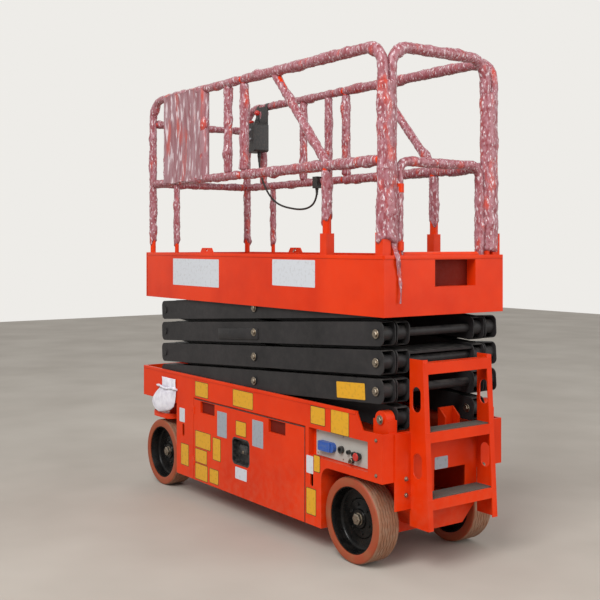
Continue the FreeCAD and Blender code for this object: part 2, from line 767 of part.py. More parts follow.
def knuckle():
    leg_y, top = [kingpin_y + across for across in knuckle_leg], knuckle_top
    x = (front_axle_x - knuckle_half, front_axle_x + knuckle_half)
    plate = box(x, (leg_y[0], kingpin_y + knuckle_half), (top - knuckle_plate, top))
    leg = box(x, leg_y, (axle_z - knuckle_drop, top - knuckle_plate))
    hub_face = wheel_mid_y - hub_in - seat_gap
    boss = rod(hub_r, V(front_axle_x, leg_y[1], axle_z), V(front_axle_x, hub_face, axle_z))
    pin = rod(kingpin_r, V(front_axle_x, kingpin_y, top), V(front_axle_x, kingpin_y, sill_bottom - kingpin_room))
    arm = flat([(front_axle_x - knuckle_half, leg_y[0]), (front_axle_x - knuckle_half, kingpin_y - 14),
                (steer_arm_x, steer_arm_y + tie_eye_r), (steer_arm_x, steer_arm_y - tie_eye_r)],
               top - steer_arm_t, steer_arm_t, "z")
    at = V(steer_arm_x, steer_arm_y, top)
    eye = rod(tie_eye_r, at - V(0, 0, steer_arm_t), at)
    stud = rod(tie_pin_r, at, at + V(0, 0, tie_eye_t + 2))
    return fused([plate, leg, boss, pin, arm, eye, stud] + stub_axle(front_axle_x, hub_face))


def tie_rod():
    low = knuckle_top + seat_gap
    mid = low + tie_eye_t / 2
    bar = rod(tie_rod_r, V(steer_arm_x, -steer_arm_y, mid), V(steer_arm_x, steer_arm_y, mid))
    bar = bar.common(box((steer_arm_x - tie_eye_r, steer_arm_x + tie_eye_r), (-half_width, half_width),
                         (low, low + tie_eye_t)))
    eyes, holes = [], []
    for s, play in ((1, pin_gap), (-1, open_gap)):
        at, up = V(steer_arm_x, s * steer_arm_y, low), V(0, 0, tie_eye_t)
        eyes.append(rod(tie_eye_r - 4, at, at + up))
        holes.append(rod(tie_pin_r + play, at, at + up))
    return cut_out(fused([bar] + eyes), holes)


# Scissor stack

rest_angle = degrees(atan2(level_rise, pin_span))
arm_length = hypot(level_rise, pin_span)
track_rear_x = pin_rear_x + arm_length * cos(radians(raised_angle)) - track_spare
track_front_x = pin_front_x + track_front


def pin_z(level):
    return first_pin_z + level * level_rise


def tilted(shape, level, kind):
    # From the arm's own line, along +X from its rear pin, to its place at rest.
    shape = shape.copy()
    shape.rotate(V(0, 0, 0), V(0, 1, 0), -rest_angle if kind == "a" else rest_angle)
    shape.translate(V(pin_rear_x, 0, pin_z(level if kind == "a" else level + 1)))
    return shape


def arm_bores(kind, level):
    # Hole radius at the rear pin, the middle and the front pin: tight round the pins that the arm carries.
    if kind == "a":
        return (pin_r + pin_gap, centre_pin_r, pin_r)
    return (pin_r, centre_pin_r + pin_gap, pin_r if level == 0 else pin_r + open_gap)


def arm(kind, level):
    # One left-hand arm on its own line: a rectangular tube with rounded ends and a boss round each pin.
    y = inner_lane_y if kind == "a" else outer_lane_y
    lane = (y, y + arm_width)
    ends = (-arm_end, arm_length + arm_end)
    half = arm_height / 2
    outer = rounded_box(ends, lane, (-half, half), arm_corner_r)
    hollow = box((ends[0] - past, ends[1] + past), (lane[0] + arm_wall, lane[1] - arm_wall),
                 (-half + arm_wall, half - arm_wall))
    places = (0, arm_length / 2, arm_length)
    bosses = [rod(boss_r, V(x, lane[0], 0), V(x, lane[1], 0)) for x in places]
    bores = [rod(r, V(x, lane[0] - past, 0), V(x, lane[1] + past, 0))
             for x, r in zip(places, arm_bores(kind, level))]
    return cut_out(fused([outer.cut(hollow)] + bosses), bores)


def shaft(x, radius, reach):
    return rod(radius, V(x, -reach, 0), V(x, reach, 0))


def rollers(start):
    wheel_end = rod(roller_r, V(arm_length, start, 0), V(arm_length, start + roller_w, 0))
    return both_sides(wheel_end)


def rod_ears():
    # The two ears on a cross bar that the lift cylinder's rod eye sits between.
    along = rod_at * arm_length
    bar_at = (along + ear_bar_along, ear_bar_up)
    pieces = [rod(ear_bar_r, V(bar_at[0], -inner_lane_y, bar_at[1]), V(bar_at[0], inner_lane_y, bar_at[1]))]
    tips = [(bar_at[0] + a, bar_at[1] + b) for a, b in ear_tip]
    low = rod_eye_w / 2 + run_gap
    tongue = flat([(along - ear_r, 0), (along + ear_r, -4)] + tips, low, ear_t)
    eye = rod(ear_r, V(along, low, 0), V(along, low + ear_t, 0))
    hole = rod(rod_pin_r, V(along, low, 0), V(along, low + ear_t, 0))
    return pieces + both_sides(fused([tongue, eye]).cut(hole))


def arm_cross(kind, level):
    # What joins the two arms of a level, on the arm's own line, and the pins and rollers it carries.
    outer_out = outer_lane_y + arm_width
    last = level == levels - 1
    pieces = []
    if kind == "a":
        middle = arm_length / 2
        if level != 2:
            pieces.append(shaft(middle, cross_r, inner_lane_y))
        pin = [rod(centre_pin_r, V(middle, inner_lane_y, 0), V(middle, outer_out + head_t, 0)),
               rod(head_r, V(middle, outer_out + seat_gap, 0), V(middle, outer_out + head_t, 0))]
        pieces += both_sides(fused(pin))
        if last:
            pieces += rollers(outer_lane_y)
            pieces.append(shaft(arm_length, pin_r, outer_lane_y))
        else:
            pieces.append(shaft(arm_length, pin_r, outer_out + head_t - seat_gap))
        if level == 1:
            pieces.append(shaft(barrel_at * arm_length, barrel_shaft_r, inner_lane_y))
        if level == 2:
            pieces += rod_ears()
            pieces.append(box(stiffener_along, (-inner_lane_y, inner_lane_y), stiffener_up))
    elif level == 0:
        pieces += rollers((inner_lane_y + outer_lane_y - roller_w) / 2)
        pieces.append(shaft(arm_length, pin_r, outer_out))
    if kind == "b" and last:
        pieces += both_sides(rod(pin_r, V(0, inner_lane_y + lane_gap, 0), V(0, outer_out + head_t, 0)))
    elif kind == "b":
        pieces.append(shaft(0, pin_r, outer_out + head_t))
    return fused(pieces)


# Lift cylinder

def on_arm(level, share):
    # A point on an inner arm's line at rest, at a share of its length.
    along, a = share * arm_length, radians(rest_angle)
    return V(pin_rear_x + along * cos(a), 0, pin_z(level) + along * sin(a))


def lift_cylinder():
    base, eye = on_arm(1, barrel_at), on_arm(2, rod_at)
    line = (eye - base).normalize()
    side = V(0, barrel_eye_w / 2, 0)
    tube_end = eye - line * barrel_stop
    barrel = fused([rod(barrel_r, base + line * (barrel_shaft_r + skin), tube_end),
                    rod(barrel_r + barrel_collar, tube_end - line * barrel_collar_len, tube_end),
                    rod(barrel_eye_r, base - side, base + side)])
    barrel = barrel.cut(rod(barrel_shaft_r + pin_gap, base - side, base + side))
    barrel = barrel.cut(rod(rod_r + bore_gap, base + line * barrel_base_t, tube_end + line))
    side = V(0, rod_eye_w / 2, 0)
    stem = fused([rod(rod_r, base + line * (barrel_base_t + rod_base_t), eye), rod(rod_eye_r, eye - side, eye + side)])
    return barrel, stem.cut(rod(rod_pin_r, eye - side, eye + side))


# Ladder

def rear_edge(z):
    # Where the sloped rear edge of a stile is at a height.
    share = (z - stile_bottom) / (stile_top - stile_bottom)
    return -half_length + share * (stile_rear_top_x + half_length)


def ladder():
    lean = [(chassis_rear_x, stile_top), (chassis_rear_x, stile_bottom), (-half_length, stile_bottom),
            (stile_rear_top_x, stile_top)]
    stile = flat(lean, stile_y - stile_t, stile_t)
    flange = flat([(-half_length, stile_bottom), (-half_length + stile_t, stile_bottom),
                   (stile_rear_top_x + stile_t, stile_top), (stile_rear_top_x, stile_top)],
                  stile_y - stile_flange, stile_flange)
    foot_plate = box((chassis_rear_x - skin, chassis_rear_x), (stile_y - stile_t, foot_plate_y), foot_plate_z)
    holes = []
    for drop in handhold_drop:
        z = stile_top - drop
        x = (chassis_rear_x + rear_edge(z) + stile_t) / 2
        holes.append(slot_cutter(x, z, handhold_half, handhold_r, (stile_y - stile_t - past, stile_y + past)))
    pieces = both_sides(cut_out(fused([stile, flange, foot_plate]), holes))
    inner = stile_y - stile_t
    for top in tread_z:
        rear = rear_edge(top - tread_height / 2)
        pieces += [box((rear, chassis_rear_x), (-inner, inner), (top - tread_plate, top)),
                   box((rear, rear + tread_plate), (-inner, inner), (top - tread_height, top))]
    bar_z = [stile_top - drop for drop in top_bar_drop]
    rear = rear_edge(bar_z[0])
    pieces += [box((rear, rear + tread_plate), (-inner, inner), bar_z),
               box((rear, rear + top_bar_depth), (-inner, inner), (bar_z[1] - tread_plate, bar_z[1]))]
    return fused(pieces)


def tread_pads():
    inner = stile_y - stile_t - pad_margin
    return [box((rear_edge(top) + pad_margin, chassis_rear_x - skin), (-inner, inner), (top, top + pad_t))
            for top in tread_z]


# Platform

def platform_deck():
    inside = half_width - side_plate_t
    rear = platform_rear_x + side_plate_t
    floor = box((rear, platform_front_x), (-inside, inside), (deck_z, deck_z + deck_t))
    rib_y = (lane_gap - inner_lane_y, inner_lane_y - lane_gap)
    ribs = [box((x - rib_t / 2, x + rib_t / 2), rib_y, (deck_z - rib_height, deck_z)) for x in rib_places]
    front_rib = box((track_front_x + 20, track_front_x + 20 + rib_t), (-inside, inside),
                    (deck_z - front_rib_height, deck_z))
    # The plates that the top rollers run under.
    track_low = pin_z(levels) + roller_r + seat_gap
    x = (track_rear_x, track_front_x)
    y = outer_lane_y - track_web
    track = box(x, (y, inside), (track_low, track_low + track_t))
    hanger = box(x, (y, outer_lane_y), (track_low + track_t, deck_z))
    glide = box((platform_front_x - glide_inset - glide_len, platform_front_x - glide_inset),
                [roll_half - a for a in glide_y], (deck_z + deck_t, deck_z + deck_t + roll_gap - seat_gap))
    pieces = [floor, front_rib] + ribs
    for half in (glide, track, hanger, platform_lug()):
        pieces += both_sides(half)
    return fused(pieces)


def side_plates():
    # The two side plates and the rear toe board with its foot pocket, in one folded wall.
    inside = half_width - side_plate_t
    z = (side_bottom, side_top)
    plate = box((platform_rear_x, platform_front_x), (inside, half_width), z)
    rear = box((platform_rear_x, platform_rear_x + side_plate_t), (-inside, inside), z)
    pocket_z = (deck_z + deck_t, side_top - pocket_top_drop)
    outer = box((platform_rear_x, platform_rear_x + pocket_room), (pocket_y[0] - pocket_wall, pocket_y[1] + pocket_wall),
                (pocket_z[0], pocket_z[1] + pocket_wall))
    room = box((platform_rear_x - past, platform_rear_x + pocket_room - pocket_wall), pocket_y,
               (pocket_z[0] + pocket_wall, pocket_z[1]))
    return fused(both_sides(plate) + [rear, outer]).cut(room)


def lanyard_anchor(x, side):
    # A low tab with a hole, on the inner face of a side plate.
    y = half_width - side_plate_t - anchor_t
    low, high = side_top - anchor_seat, side_top + anchor_height
    outline = [(x - anchor_half, low), (x + anchor_half, low), (x + anchor_half, side_top), (x + anchor_half - 22, high),
               (x - anchor_half + 22, high), (x - anchor_half, side_top)]
    tab = flat(outline, y, anchor_t)
    hole = rod(anchor_hole_r, V(x, y, side_top + anchor_hole_up), V(x, y + anchor_t, side_top + anchor_hole_up))
    tab = tab.cut(hole)
    return tab if side > 0 else mirrored(tab)


def main_rails():
    r = rail_r
    top, mid = top_rail_z, mid_rail_z
    side_loop = bent_tube([V(rear_post_x, rail_y, post_foot_z), V(rear_post_x, rail_y, top), V(mouth_x, rail_y, top)],
                          [corner_bend_r], r)[0]
    mid_bar = rod(r, V(rear_post_x, rail_y, mid), V(mouth_x, rail_y, mid))
    mouth = rod(brace_r, V(mouth_post_x, rail_y, mid), V(mouth_post_x, rail_y, top))
    post = rod(r, V(second_post_x, rail_y, post_foot_z), V(second_post_x, rail_y, mid))
    diagonal = rod(brace_r, V(second_post_x, rail_y, mid), V(diagonal_top_x, rail_y, top))
    bores = [rod(r - rail_wall, V(slide_rear_x - bore_past, rail_y, z), V(mouth_x + past, rail_y, z))
             for z in (top, mid)]
    blocks = [box((x - socket_half, x + socket_half), (rail_y - socket_half, half_width - side_plate_t),
                  (post_foot_z, socket_top)) for x in (rear_post_x, second_post_x)]
    side = cut_out(fused([side_loop, mid_bar, mouth, post, diagonal] + blocks), bores)
    return both_sides(side)


def entry_frame():
    # The tall hoop round the gate, at the rear edge of the platform.
    hoop = bent_tube([V(rear_post_x, -entry_outer_y, post_foot_z), V(rear_post_x, -entry_outer_y, top_rail_z),
                      V(rear_post_x, entry_outer_y, top_rail_z), V(rear_post_x, entry_outer_y, post_foot_z)],
                     [corner_bend_r, corner_bend_r], rail_r)[0]
    eyes = []
    for up in gate_eyes:
        z = (post_foot_z + up, post_foot_z + up + gate_eye_len)
        at, end = V(rear_post_x, gate_y, z[0]), V(rear_post_x, gate_y, z[1])
        strap = box((rear_post_x - rib_t, rear_post_x + rib_t), (gate_y, entry_outer_y), z)
        eyes.append(fused([rod(gate_r + gate_eye_wall, at, end), strap]).cut(rod(gate_r + pin_gap, at, end)))
    return fused([hoop] + eyes)


def gate():
    z = mid_rail_z
    foot = post_foot_z + gate_bottom
    hoop = bent_tube([V(rear_post_x, -gate_y, foot), V(rear_post_x, -gate_y, z), V(rear_post_x, gate_y, z),
                      V(rear_post_x, gate_y, foot)], [gate_bend_r, gate_bend_r], gate_r)[0]
    bar_z = post_foot_z + gate_bar
    bar = rod(gate_bar_r, V(rear_post_x, -gate_y, bar_z), V(rear_post_x, gate_y, bar_z))
    low = post_foot_z + gate_eyes[0] + gate_eye_len + seat_gap
    collar = rod(gate_r + gate_collar, V(rear_post_x, gate_y, low), V(rear_post_x, gate_y, low + gate_collar_len))
    return fused([hoop, bar, collar])


# Roll-out deck

def roll_out_deck():
    z = deck_z + deck_t + roll_gap
    plate = box((roll_rear_x, roll_front_x - roll_front_t), (-roll_half, roll_half), (z, z + roll_plate_t))
    toe = box((roll_rear_x, roll_front_x - roll_front_t), (roll_half - roll_toe_t, roll_half), (z, side_top))
    front = box((roll_front_x - roll_front_t, roll_front_x), (-half_width, half_width), (side_bottom, side_top))
    pad = box((roll_rear_x + glide_inset, roll_rear_x + glide_inset + glide_len), [roll_half - a for a in glide_y],
              (deck_z + deck_t + seat_gap, z))
    return fused([plate, front] + both_sides(toe) + both_sides(pad))


def roll_out_rails():
    r = slide_rail_r
    top, mid = top_rail_z, mid_rail_z
    y = rail_y
    loop = bent_tube([V(slide_rear_x, y, top), V(front_post_x, y, top), V(front_post_x, y, side_top)],
                     [front_bend_r], r)[0]
    mid_bar = rod(r, V(slide_rear_x, y, mid), V(front_post_x, y, mid))
    posts = [rod(slide_post_r, V(x, y, mid), V(x, y, top)) for x in slide_posts]
    lower = rod(lower_post_r, V(lower_post_x, y, side_top), V(lower_post_x, y, mid))
    side = fused([loop, mid_bar] + posts + [lower])
    bars = [rod(r, V(front_post_x, -y, z), V(front_post_x, y, z)) for z in (mid, top - front_bend_r - 20)]
    return fused(both_sides(side) + bars)


def control_box():
    # The platform control box, hung inside the right-hand top rail of the roll-out deck.
    y = control_y
    rear = control_x[0]
    shell = rounded_box(control_x, (y, y + control_depth), control_z, control_corner_r)
    clamp_x = [rear + along for along in clamp_in]
    plate = box((clamp_x[0], clamp_x[1] + clamp_w), (y - control_plate_t, y),
                (control_z[0] + control_plate_up, top_rail_z))
    clamps = [rod(slide_rail_r + clamp_t, V(x, -rail_y, top_rail_z), V(x + clamp_w, -rail_y, top_rail_z))
              for x in clamp_x]
    foot = V(rear + stick_in, y + control_depth / 2, control_z[1])
    knob_at = foot + V(0, 0, stick_len)
    gland = rod(gland_r, cable_exit, cable_exit + V(0, 0, gland_len))
    whole = fused([shell, plate, gland, rod(stick_r, foot, knob_at), Part.makeSphere(knob_r, knob_at)] + clamps)
    return whole.cut(rod(slide_rail_r, V(rear, -rail_y, top_rail_z), V(control_x[1], -rail_y, top_rail_z)))


def cable_terminal():
    # The small box that the cable ends in, clamped to the middle rail.
    around = rod(slide_rail_r + clamp_t, V(terminal_x[0], -rail_y, mid_rail_z), V(terminal_x[1], -rail_y, mid_rail_z))
    body = box(terminal_x, terminal_y, terminal_z)
    return fused([around, body]).cut(
        rod(slide_rail_r, V(terminal_x[0], -rail_y, mid_rail_z), V(terminal_x[1], -rail_y, mid_rail_z)))


def control_cable():
    # Straight runs joined by arcs as large as the runs allow, drawn out between its two ends.
    span, drawn = cable_end - cable_exit, cable_route[-1]
    points = [cable_exit + V(x * span.x / drawn[0], y * span.y / drawn[1], z * span.z / drawn[2])
              for x, y, z in cable_route]
    radii = []
    for before, here, after in zip(points, points[1:], points[2:]):
        half_turn = (here - before).getAngle(after - here) / 2
        radii.append(0.45 * min((here - before).Length, (after - here).Length) / tan(half_turn))
    tube, length = bent_tube(points, radii, cable_d / 2)
    section = pi * cable_d ** 2 / 4
    print("cable: length %.1f, volume / (section x length) %.4f, radii %s" % (
        length, tube.Volume / (section * length), [round(r) for r in radii]))
    return tube


os.makedirs("parts", exist_ok=True)

save("chassis_frame", [chassis_frame()])
left_skin = fused([side_skin(), recess_box()] + skin_hinges()).cut(recess_room())
save("side_skins", [left_skin, mirrored(fused([side_skin()] + skin_hinges()))])
save("ground_panel", [ground_panel()])
save("ground_controls", ground_controls())
save("charge_socket", [charge_socket()])
save("kingpin_brackets", both_sides(kingpin_bracket()))
save("roller_tracks", both_sides(roller_track()))
save("chassis_lugs", both_sides(chassis_lug()))
save("rear_axles", both_sides(rear_axle()))
save("ladder", [ladder()])
save("tread_pads", tread_pads())
for tag, make in (("door", door_panel), ("latch", door_latch), ("tray", door_tray), ("knuckle", knuckle)):
    left = make()
    save(tag + "_left", [left])
    save(tag + "_right", [mirrored(left)])
save("battery_pack", batteries())
save("hydraulic_unit", [hydraulic_unit()])
save("tie_rod", [tie_rod()])
for end, x in (("f", front_axle_x), ("r", rear_axle_x)):
    for hand, side in (("l", 1), ("r", -1)):
        tread, rim = wheel(x, side)
        save("tread_" + end + hand, [tread])
        save("rim_" + end + hand, [rim])
for level in range(levels):
    for kind in "ab":
        save("arms_%s%d" % (kind, level + 1), both_sides(tilted(arm(kind, level), level, kind)))
        save("cross_%s%d" % (kind, level + 1), [tilted(arm_cross(kind, level), level, kind)])
barrel, stem = lift_cylinder()
save("lift_barrel", [barrel])
save("lift_rod", [stem])
save("platform_deck", [platform_deck()])
save("side_plates", [side_plates()])
save("lanyard_anchors", [lanyard_anchor(anchor_x[0], 1), lanyard_anchor(anchor_x[1], -1)])
save("main_rails", main_rails())
save("entry_frame", [entry_frame()])
save("gate", [gate()])
save("roll_out_deck", [roll_out_deck()])
save("roll_out_rails", [roll_out_rails()])
save("control_box", [control_box()])
save("cable_terminal", [cable_terminal()])
save("control_cable", [control_cable()])
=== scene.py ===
# A slab scissor lift, folded down and still in its shipping film: the finish of every node, the
# bubble film round the guard rails, blank plates, bolts and small fittings. Metres, Z up.
import json

import bpy
import numpy as np
from mathutils import Matrix, Vector


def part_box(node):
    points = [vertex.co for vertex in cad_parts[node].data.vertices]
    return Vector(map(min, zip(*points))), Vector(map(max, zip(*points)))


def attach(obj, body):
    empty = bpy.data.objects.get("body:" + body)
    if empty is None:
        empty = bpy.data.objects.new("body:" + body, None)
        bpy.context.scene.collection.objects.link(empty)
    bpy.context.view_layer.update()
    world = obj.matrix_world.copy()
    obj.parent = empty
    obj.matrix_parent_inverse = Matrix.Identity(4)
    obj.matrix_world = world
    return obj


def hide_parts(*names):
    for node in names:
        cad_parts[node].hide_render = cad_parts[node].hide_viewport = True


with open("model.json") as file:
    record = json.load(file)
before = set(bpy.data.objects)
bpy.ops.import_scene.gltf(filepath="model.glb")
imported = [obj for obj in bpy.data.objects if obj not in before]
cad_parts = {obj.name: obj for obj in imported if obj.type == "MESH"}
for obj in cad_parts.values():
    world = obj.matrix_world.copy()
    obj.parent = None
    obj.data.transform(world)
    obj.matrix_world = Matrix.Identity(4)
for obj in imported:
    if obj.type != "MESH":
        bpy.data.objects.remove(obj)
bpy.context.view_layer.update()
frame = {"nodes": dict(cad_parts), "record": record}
nodes = frame["nodes"]
print("frame loaded:", len(nodes), "nodes")


# Camera, on the photograph's own viewing line

cameraSetup = {
    "place": (-4.360, 3.186, 1.467),
    "yaw": -0.625,                 # of the view's line, from +X
    "focalPixels": 979.6,
    "framePixels": 600,
    "horizonRow": 244.5,
    "sensorMm": 36.0,
}


def makeCamera(setup):
    data = bpy.data.cameras.new("viewCamera")
    data.sensor_width = setup["sensorMm"]
    data.lens = setup["focalPixels"] / setup["framePixels"] * setup["sensorMm"]
    data.shift_y = (setup["horizonRow"] - setup["framePixels"] / 2) / setup["framePixels"]
    data.clip_start, data.clip_end = 0.1, 100
    camera = bpy.data.objects.new("viewCamera", data)
    camera.location = setup["place"]
    camera.rotation_euler = (np.pi / 2, 0, setup["yaw"] - np.pi / 2)
    bpy.context.scene.collection.objects.link(camera)
    bpy.context.scene.camera = camera


makeCamera(cameraSetup)


# Small helpers for materials

def linearColour(hexCode):
    value = np.array([int(hexCode[i:i + 2], 16) for i in (1, 3, 5)]) / 255
    linear = np.where(value <= 0.04045, value / 12.92, ((value + 0.055) / 1.055) ** 2.4)
    return (*linear.tolist(), 1.0)


def addNode(tree, kind, inputs=None, **settings):
    # Adds a node, with its settings, and links or sets its input sockets by name or number.
    node = tree.nodes.new(kind)
    for name, value in settings.items():
        setattr(node, name, value)
    for socket, value in (inputs or {}).items():
        if isinstance(value, bpy.types.NodeSocket):
            tree.links.new(value, node.inputs[socket])
        else:
            node.inputs[socket].default_value = value
    return node


def perMm(size):
    return 1000.0 / size           # a noise or cell scale whose features are this many millimetres


def startMaterial(name):
    material = bpy.data.materials.new(name)
    material.use_nodes = True
    tree = material.node_tree
    shader = tree.nodes["Principled BSDF"]
    place = addNode(tree, "ShaderNodeTexCoord").outputs["Object"]
    return material, tree, shader, place


def spotted(tree, place, sizeMm, low, high, detail=3.0):
    # Noise of one size, stretched so that it runs from 0 at low to 1 at high.
    noise = addNode(tree, "ShaderNodeTexNoise", {"Vector": place, "Scale": perMm(sizeMm), "Detail": detail})
    ramp = addNode(tree, "ShaderNodeMapRange", {"Value": noise.outputs["Fac"], "From Min": low, "From Max": high})
    return ramp.outputs["Result"]


def scaled(tree, value, low, high):
    return addNode(tree, "ShaderNodeMapRange", {"Value": value, "To Min": low, "To Max": high}).outputs["Result"]


def multiplied(tree, a, b):
    return addNode(tree, "ShaderNodeMath", {0: a, 1: b}, operation="MULTIPLY").outputs[0]


def mixed(tree, share, first, second):
    node = addNode(tree, "ShaderNodeMix", {"Factor": share, "A": first, "B": second}, data_type="RGBA")
    return node.outputs["Result"]


def raised(tree, height, distanceMm, strength=1.0, normal=None):
    inputs = {"Height": height, "Distance": distanceMm / 1000, "Strength": strength}
    if normal is not None:
        inputs["Normal"] = normal
    return addNode(tree, "ShaderNodeBump", inputs).outputs["Normal"]


def facingUp(tree):
    # How far a face looks up: 0 on a wall, 1 on a floor.
    normal = addNode(tree, "ShaderNodeNewGeometry").outputs["Normal"]
    up = addNode(tree, "ShaderNodeSeparateXYZ", {"Vector": normal}).outputs["Z"]
    return addNode(tree, "ShaderNodeMapRange", {"Value": up, "From Min": 0.2, "From Max": 0.95}).outputs["Result"]


paintSetup = {
    "orange_paint": {"colour": "#df3807", "shade": "#cf2e03", "roughness": (0.30, 0.42), "dust": "#b98264",
                     "dustShare": 0.10},
    "grey_paint": {"colour": "#2f2d2e", "shade": "#252425", "roughness": (0.40, 0.52), "dust": "#6f6a64",
                   "dustShare": 0.22},
    "deck_steel": {"colour": "#55585b", "shade": "#484a4d", "roughness": (0.4, 0.6), "dust": "#84796d",
                   "dustShare": 0.22},
    "panel_grey": {"colour": "#b9b6b0", "shade": "#a8a49d", "roughness": (0.35, 0.5), "dust": "#8c8378",
                   "dustShare": 0.3},
    # pocket_shade is a dark red for plates at the backs of the pockets: painted shade of the hollow behind them
    "pocket_shade": {"colour": "#701606", "shade": "#5c1105", "roughness": (0.6, 0.8), "dust": "#6e4a3a",
                     "dustShare": 0.2},
    "black_rim": {"colour": "#0d0d0e", "shade": "#080808", "roughness": (0.20, 0.32), "dust": "#4d453e",
                  "dustShare": 0.08},
}


def powderCoat(name, setup):
    # Polyester powder coat, baked on welded sheet steel: even and glossy, with a faint orange peel, soft
    # edges, and yard dust that settles on faces that look up and near the floor.
    material, tree, shader, place = startMaterial(name)
    shader.inputs["Specular IOR Level"].default_value = 0.16
    cloud = spotted(tree, place, 260, 0.35, 0.7)
    paint = mixed(tree, cloud, linearColour(setup["colour"]), linearColour(setup["shade"]))
    height = addNode(tree, "ShaderNodeSeparateXYZ", {"Vector": place}).outputs["Z"]
    low = addNode(tree, "ShaderNodeMapRange", {"Value": height, "From Min": 0.5, "From Max": 0.1,
                                               "To Min": 0.12, "To Max": 0.8}).outputs["Result"]
    settled = addNode(tree, "ShaderNodeMath", {0: low, 1: facingUp(tree)}, operation="MAXIMUM").outputs[0]
    grime = multiplied(tree, multiplied(tree, spotted(tree, place, 35, 0.38, 0.72, 6.0), settled),
                       setup["dustShare"] * 2)
    colour = mixed(tree, grime, paint, linearColour(setup["dust"]))
    tree.links.new(colour, shader.inputs["Base Color"])
    worn = addNode(tree, "ShaderNodeMath", {0: spotted(tree, place, 14, 0.3, 0.75), 1: grime}, operation="MAXIMUM")
    tree.links.new(scaled(tree, worn.outputs[0], *setup["roughness"]), shader.inputs["Roughness"])
    edge = addNode(tree, "ShaderNodeBevel", {"Radius": 0.0018}, samples=4).outputs["Normal"]
    # Real orange peel is about 1 mm; it is drawn at 4 mm so that it shows.
    peel = addNode(tree, "ShaderNodeTexNoise", {"Vector": place, "Scale": perMm(4), "Detail": 1.0})
    tree.links.new(raised(tree, peel.outputs["Fac"], 0.12, 0.5, edge), shader.inputs["Normal"])
    return material


def zincSteel(name, colourHex, roughness):
    # Zinc-plated or turned steel: bright, with fine turning marks and dull patches.
    material, tree, shader, place = startMaterial(name)
    shader.inputs["Metallic"].default_value = 1.0
    patch = spotted(tree, place, 9, 0.35, 0.7, 4.0)
    tone = mixed(tree, patch, linearColour(colourHex), linearColour("#75695c"))
    tree.links.new(tone, shader.inputs["Base Color"])
    tree.links.new(scaled(tree, patch, roughness, roughness + 0.22), shader.inputs["Roughness"])
    marks = addNode(tree, "ShaderNodeTexNoise", {"Vector": place, "Scale": perMm(1.5), "Detail": 2.0})
    tree.links.new(raised(tree, marks.outputs["Fac"], 0.1, 0.4), shader.inputs["Normal"])
    return material


def chromeRod(name):
    # Hard chrome on a ground rod, under a thin film of oil.
    material, tree, shader, place = startMaterial(name)
    shader.inputs["Metallic"].default_value = 1.0
    shader.inputs["Base Color"].default_value = linearColour("#d4d5d8")
    tree.links.new(scaled(tree, spotted(tree, place, 20, 0.4, 0.7), 0.08, 0.2), shader.inputs["Roughness"])
    return material


def pressedRubber(name, colourHex, dustHex, sizeMm, roughness):
    # Moulded rubber or plastic: matt, slightly pebbled, greyed by dust in the low spots.
    material, tree, shader, place = startMaterial(name)
    dusty = spotted(tree, place, sizeMm * 6, 0.42, 0.72, 5.0)
    colour = mixed(tree, multiplied(tree, dusty, 0.5), linearColour(colourHex), linearColour(dustHex))
    tree.links.new(colour, shader.inputs["Base Color"])
    tree.links.new(scaled(tree, dusty, roughness, min(1.0, roughness + 0.2)), shader.inputs["Roughness"])
    grain = addNode(tree, "ShaderNodeTexNoise", {"Vector": place, "Scale": perMm(sizeMm), "Detail": 3.0})
    tree.links.new(raised(tree, grain.outputs["Fac"], 0.4, 0.5), shader.inputs["Normal"])
    return material


def gripCoat(name):
    # Grit bonded on the treads: a coarse, dull, grey-brown sandpaper with grains near a millimetre,
    # drawn at 2.5 mm so that they show.
    material, tree, shader, place = startMaterial(name)
    grains = addNode(tree, "ShaderNodeTexVoronoi", {"Vector": place, "Scale": perMm(2.5)})
    worn = spotted(tree, place, 60, 0.35, 0.7)
    colour = mixed(tree, worn, linearColour("#2b2926"), linearColour("#443f39"))
    speck = mixed(tree, scaled(tree, grains.outputs["Distance"], 0.0, 0.5), linearColour("#5d574f"), colour)
    tree.links.new(speck, shader.inputs["Base Color"])
    shader.inputs["Roughness"].default_value = 0.92
    tree.links.new(raised(tree, grains.outputs["Distance"], 0.9, 0.8), shader.inputs["Normal"])
    return material


def shippingFilm(name, setup):
    # Polyethylene bubble film wound over the orange pipe: milky and glossy, whiter where layers lie on each other,
    # redder where one tight layer shows the paint, with small white flecks of painted highlight that stand for the
    # film's glints. It is drawn opaque, with bubbles of 10 mm.
    material, tree, shader, place = startMaterial(name)
    stretched = addNode(tree, "ShaderNodeMapping", {"Vector": place, "Rotation": setup["turn"],
                                                    "Scale": setup["stretch"]}).outputs["Vector"]
    layers = spotted(tree, stretched, setup["layerMm"], 0.38, 0.62, 4.0)
    tight = spotted(tree, stretched, setup["tightMm"], 0.56, 0.68, 4.0)
    # White flecks of painted highlight, standing in for glints on the glossy film
    paintedGlint = spotted(tree, stretched, setup["paintedGlintMm"], 0.56, 0.67, 5.0)
    tone = mixed(tree, layers, linearColour(setup["deep"]), linearColour(setup["milky"]))
    tone = mixed(tree, multiplied(tree, tight, setup["tightShare"]), tone, linearColour(setup["paint"]))
    tone = mixed(tree, multiplied(tree, paintedGlint, 0.85), tone, linearColour(setup["white"]))
    tree.links.new(tone, shader.inputs["Base Color"])
    tree.links.new(scaled(tree, layers, 0.2, 0.42), shader.inputs["Roughness"])
    bubbles = addNode(tree, "ShaderNodeTexVoronoi", {"Vector": stretched, "Scale": perMm(10)}, feature="SMOOTH_F1")
    folds = addNode(tree, "ShaderNodeTexNoise", {"Vector": stretched, "Scale": perMm(22), "Detail": 3.0,
                                                 "Distortion": 1.5})
    bumped = raised(tree, bubbles.outputs["Distance"], -0.5, 0.25)
    tree.links.new(raised(tree, folds.outputs["Fac"], 1.6, 0.45, bumped), shader.inputs["Normal"])
    return material
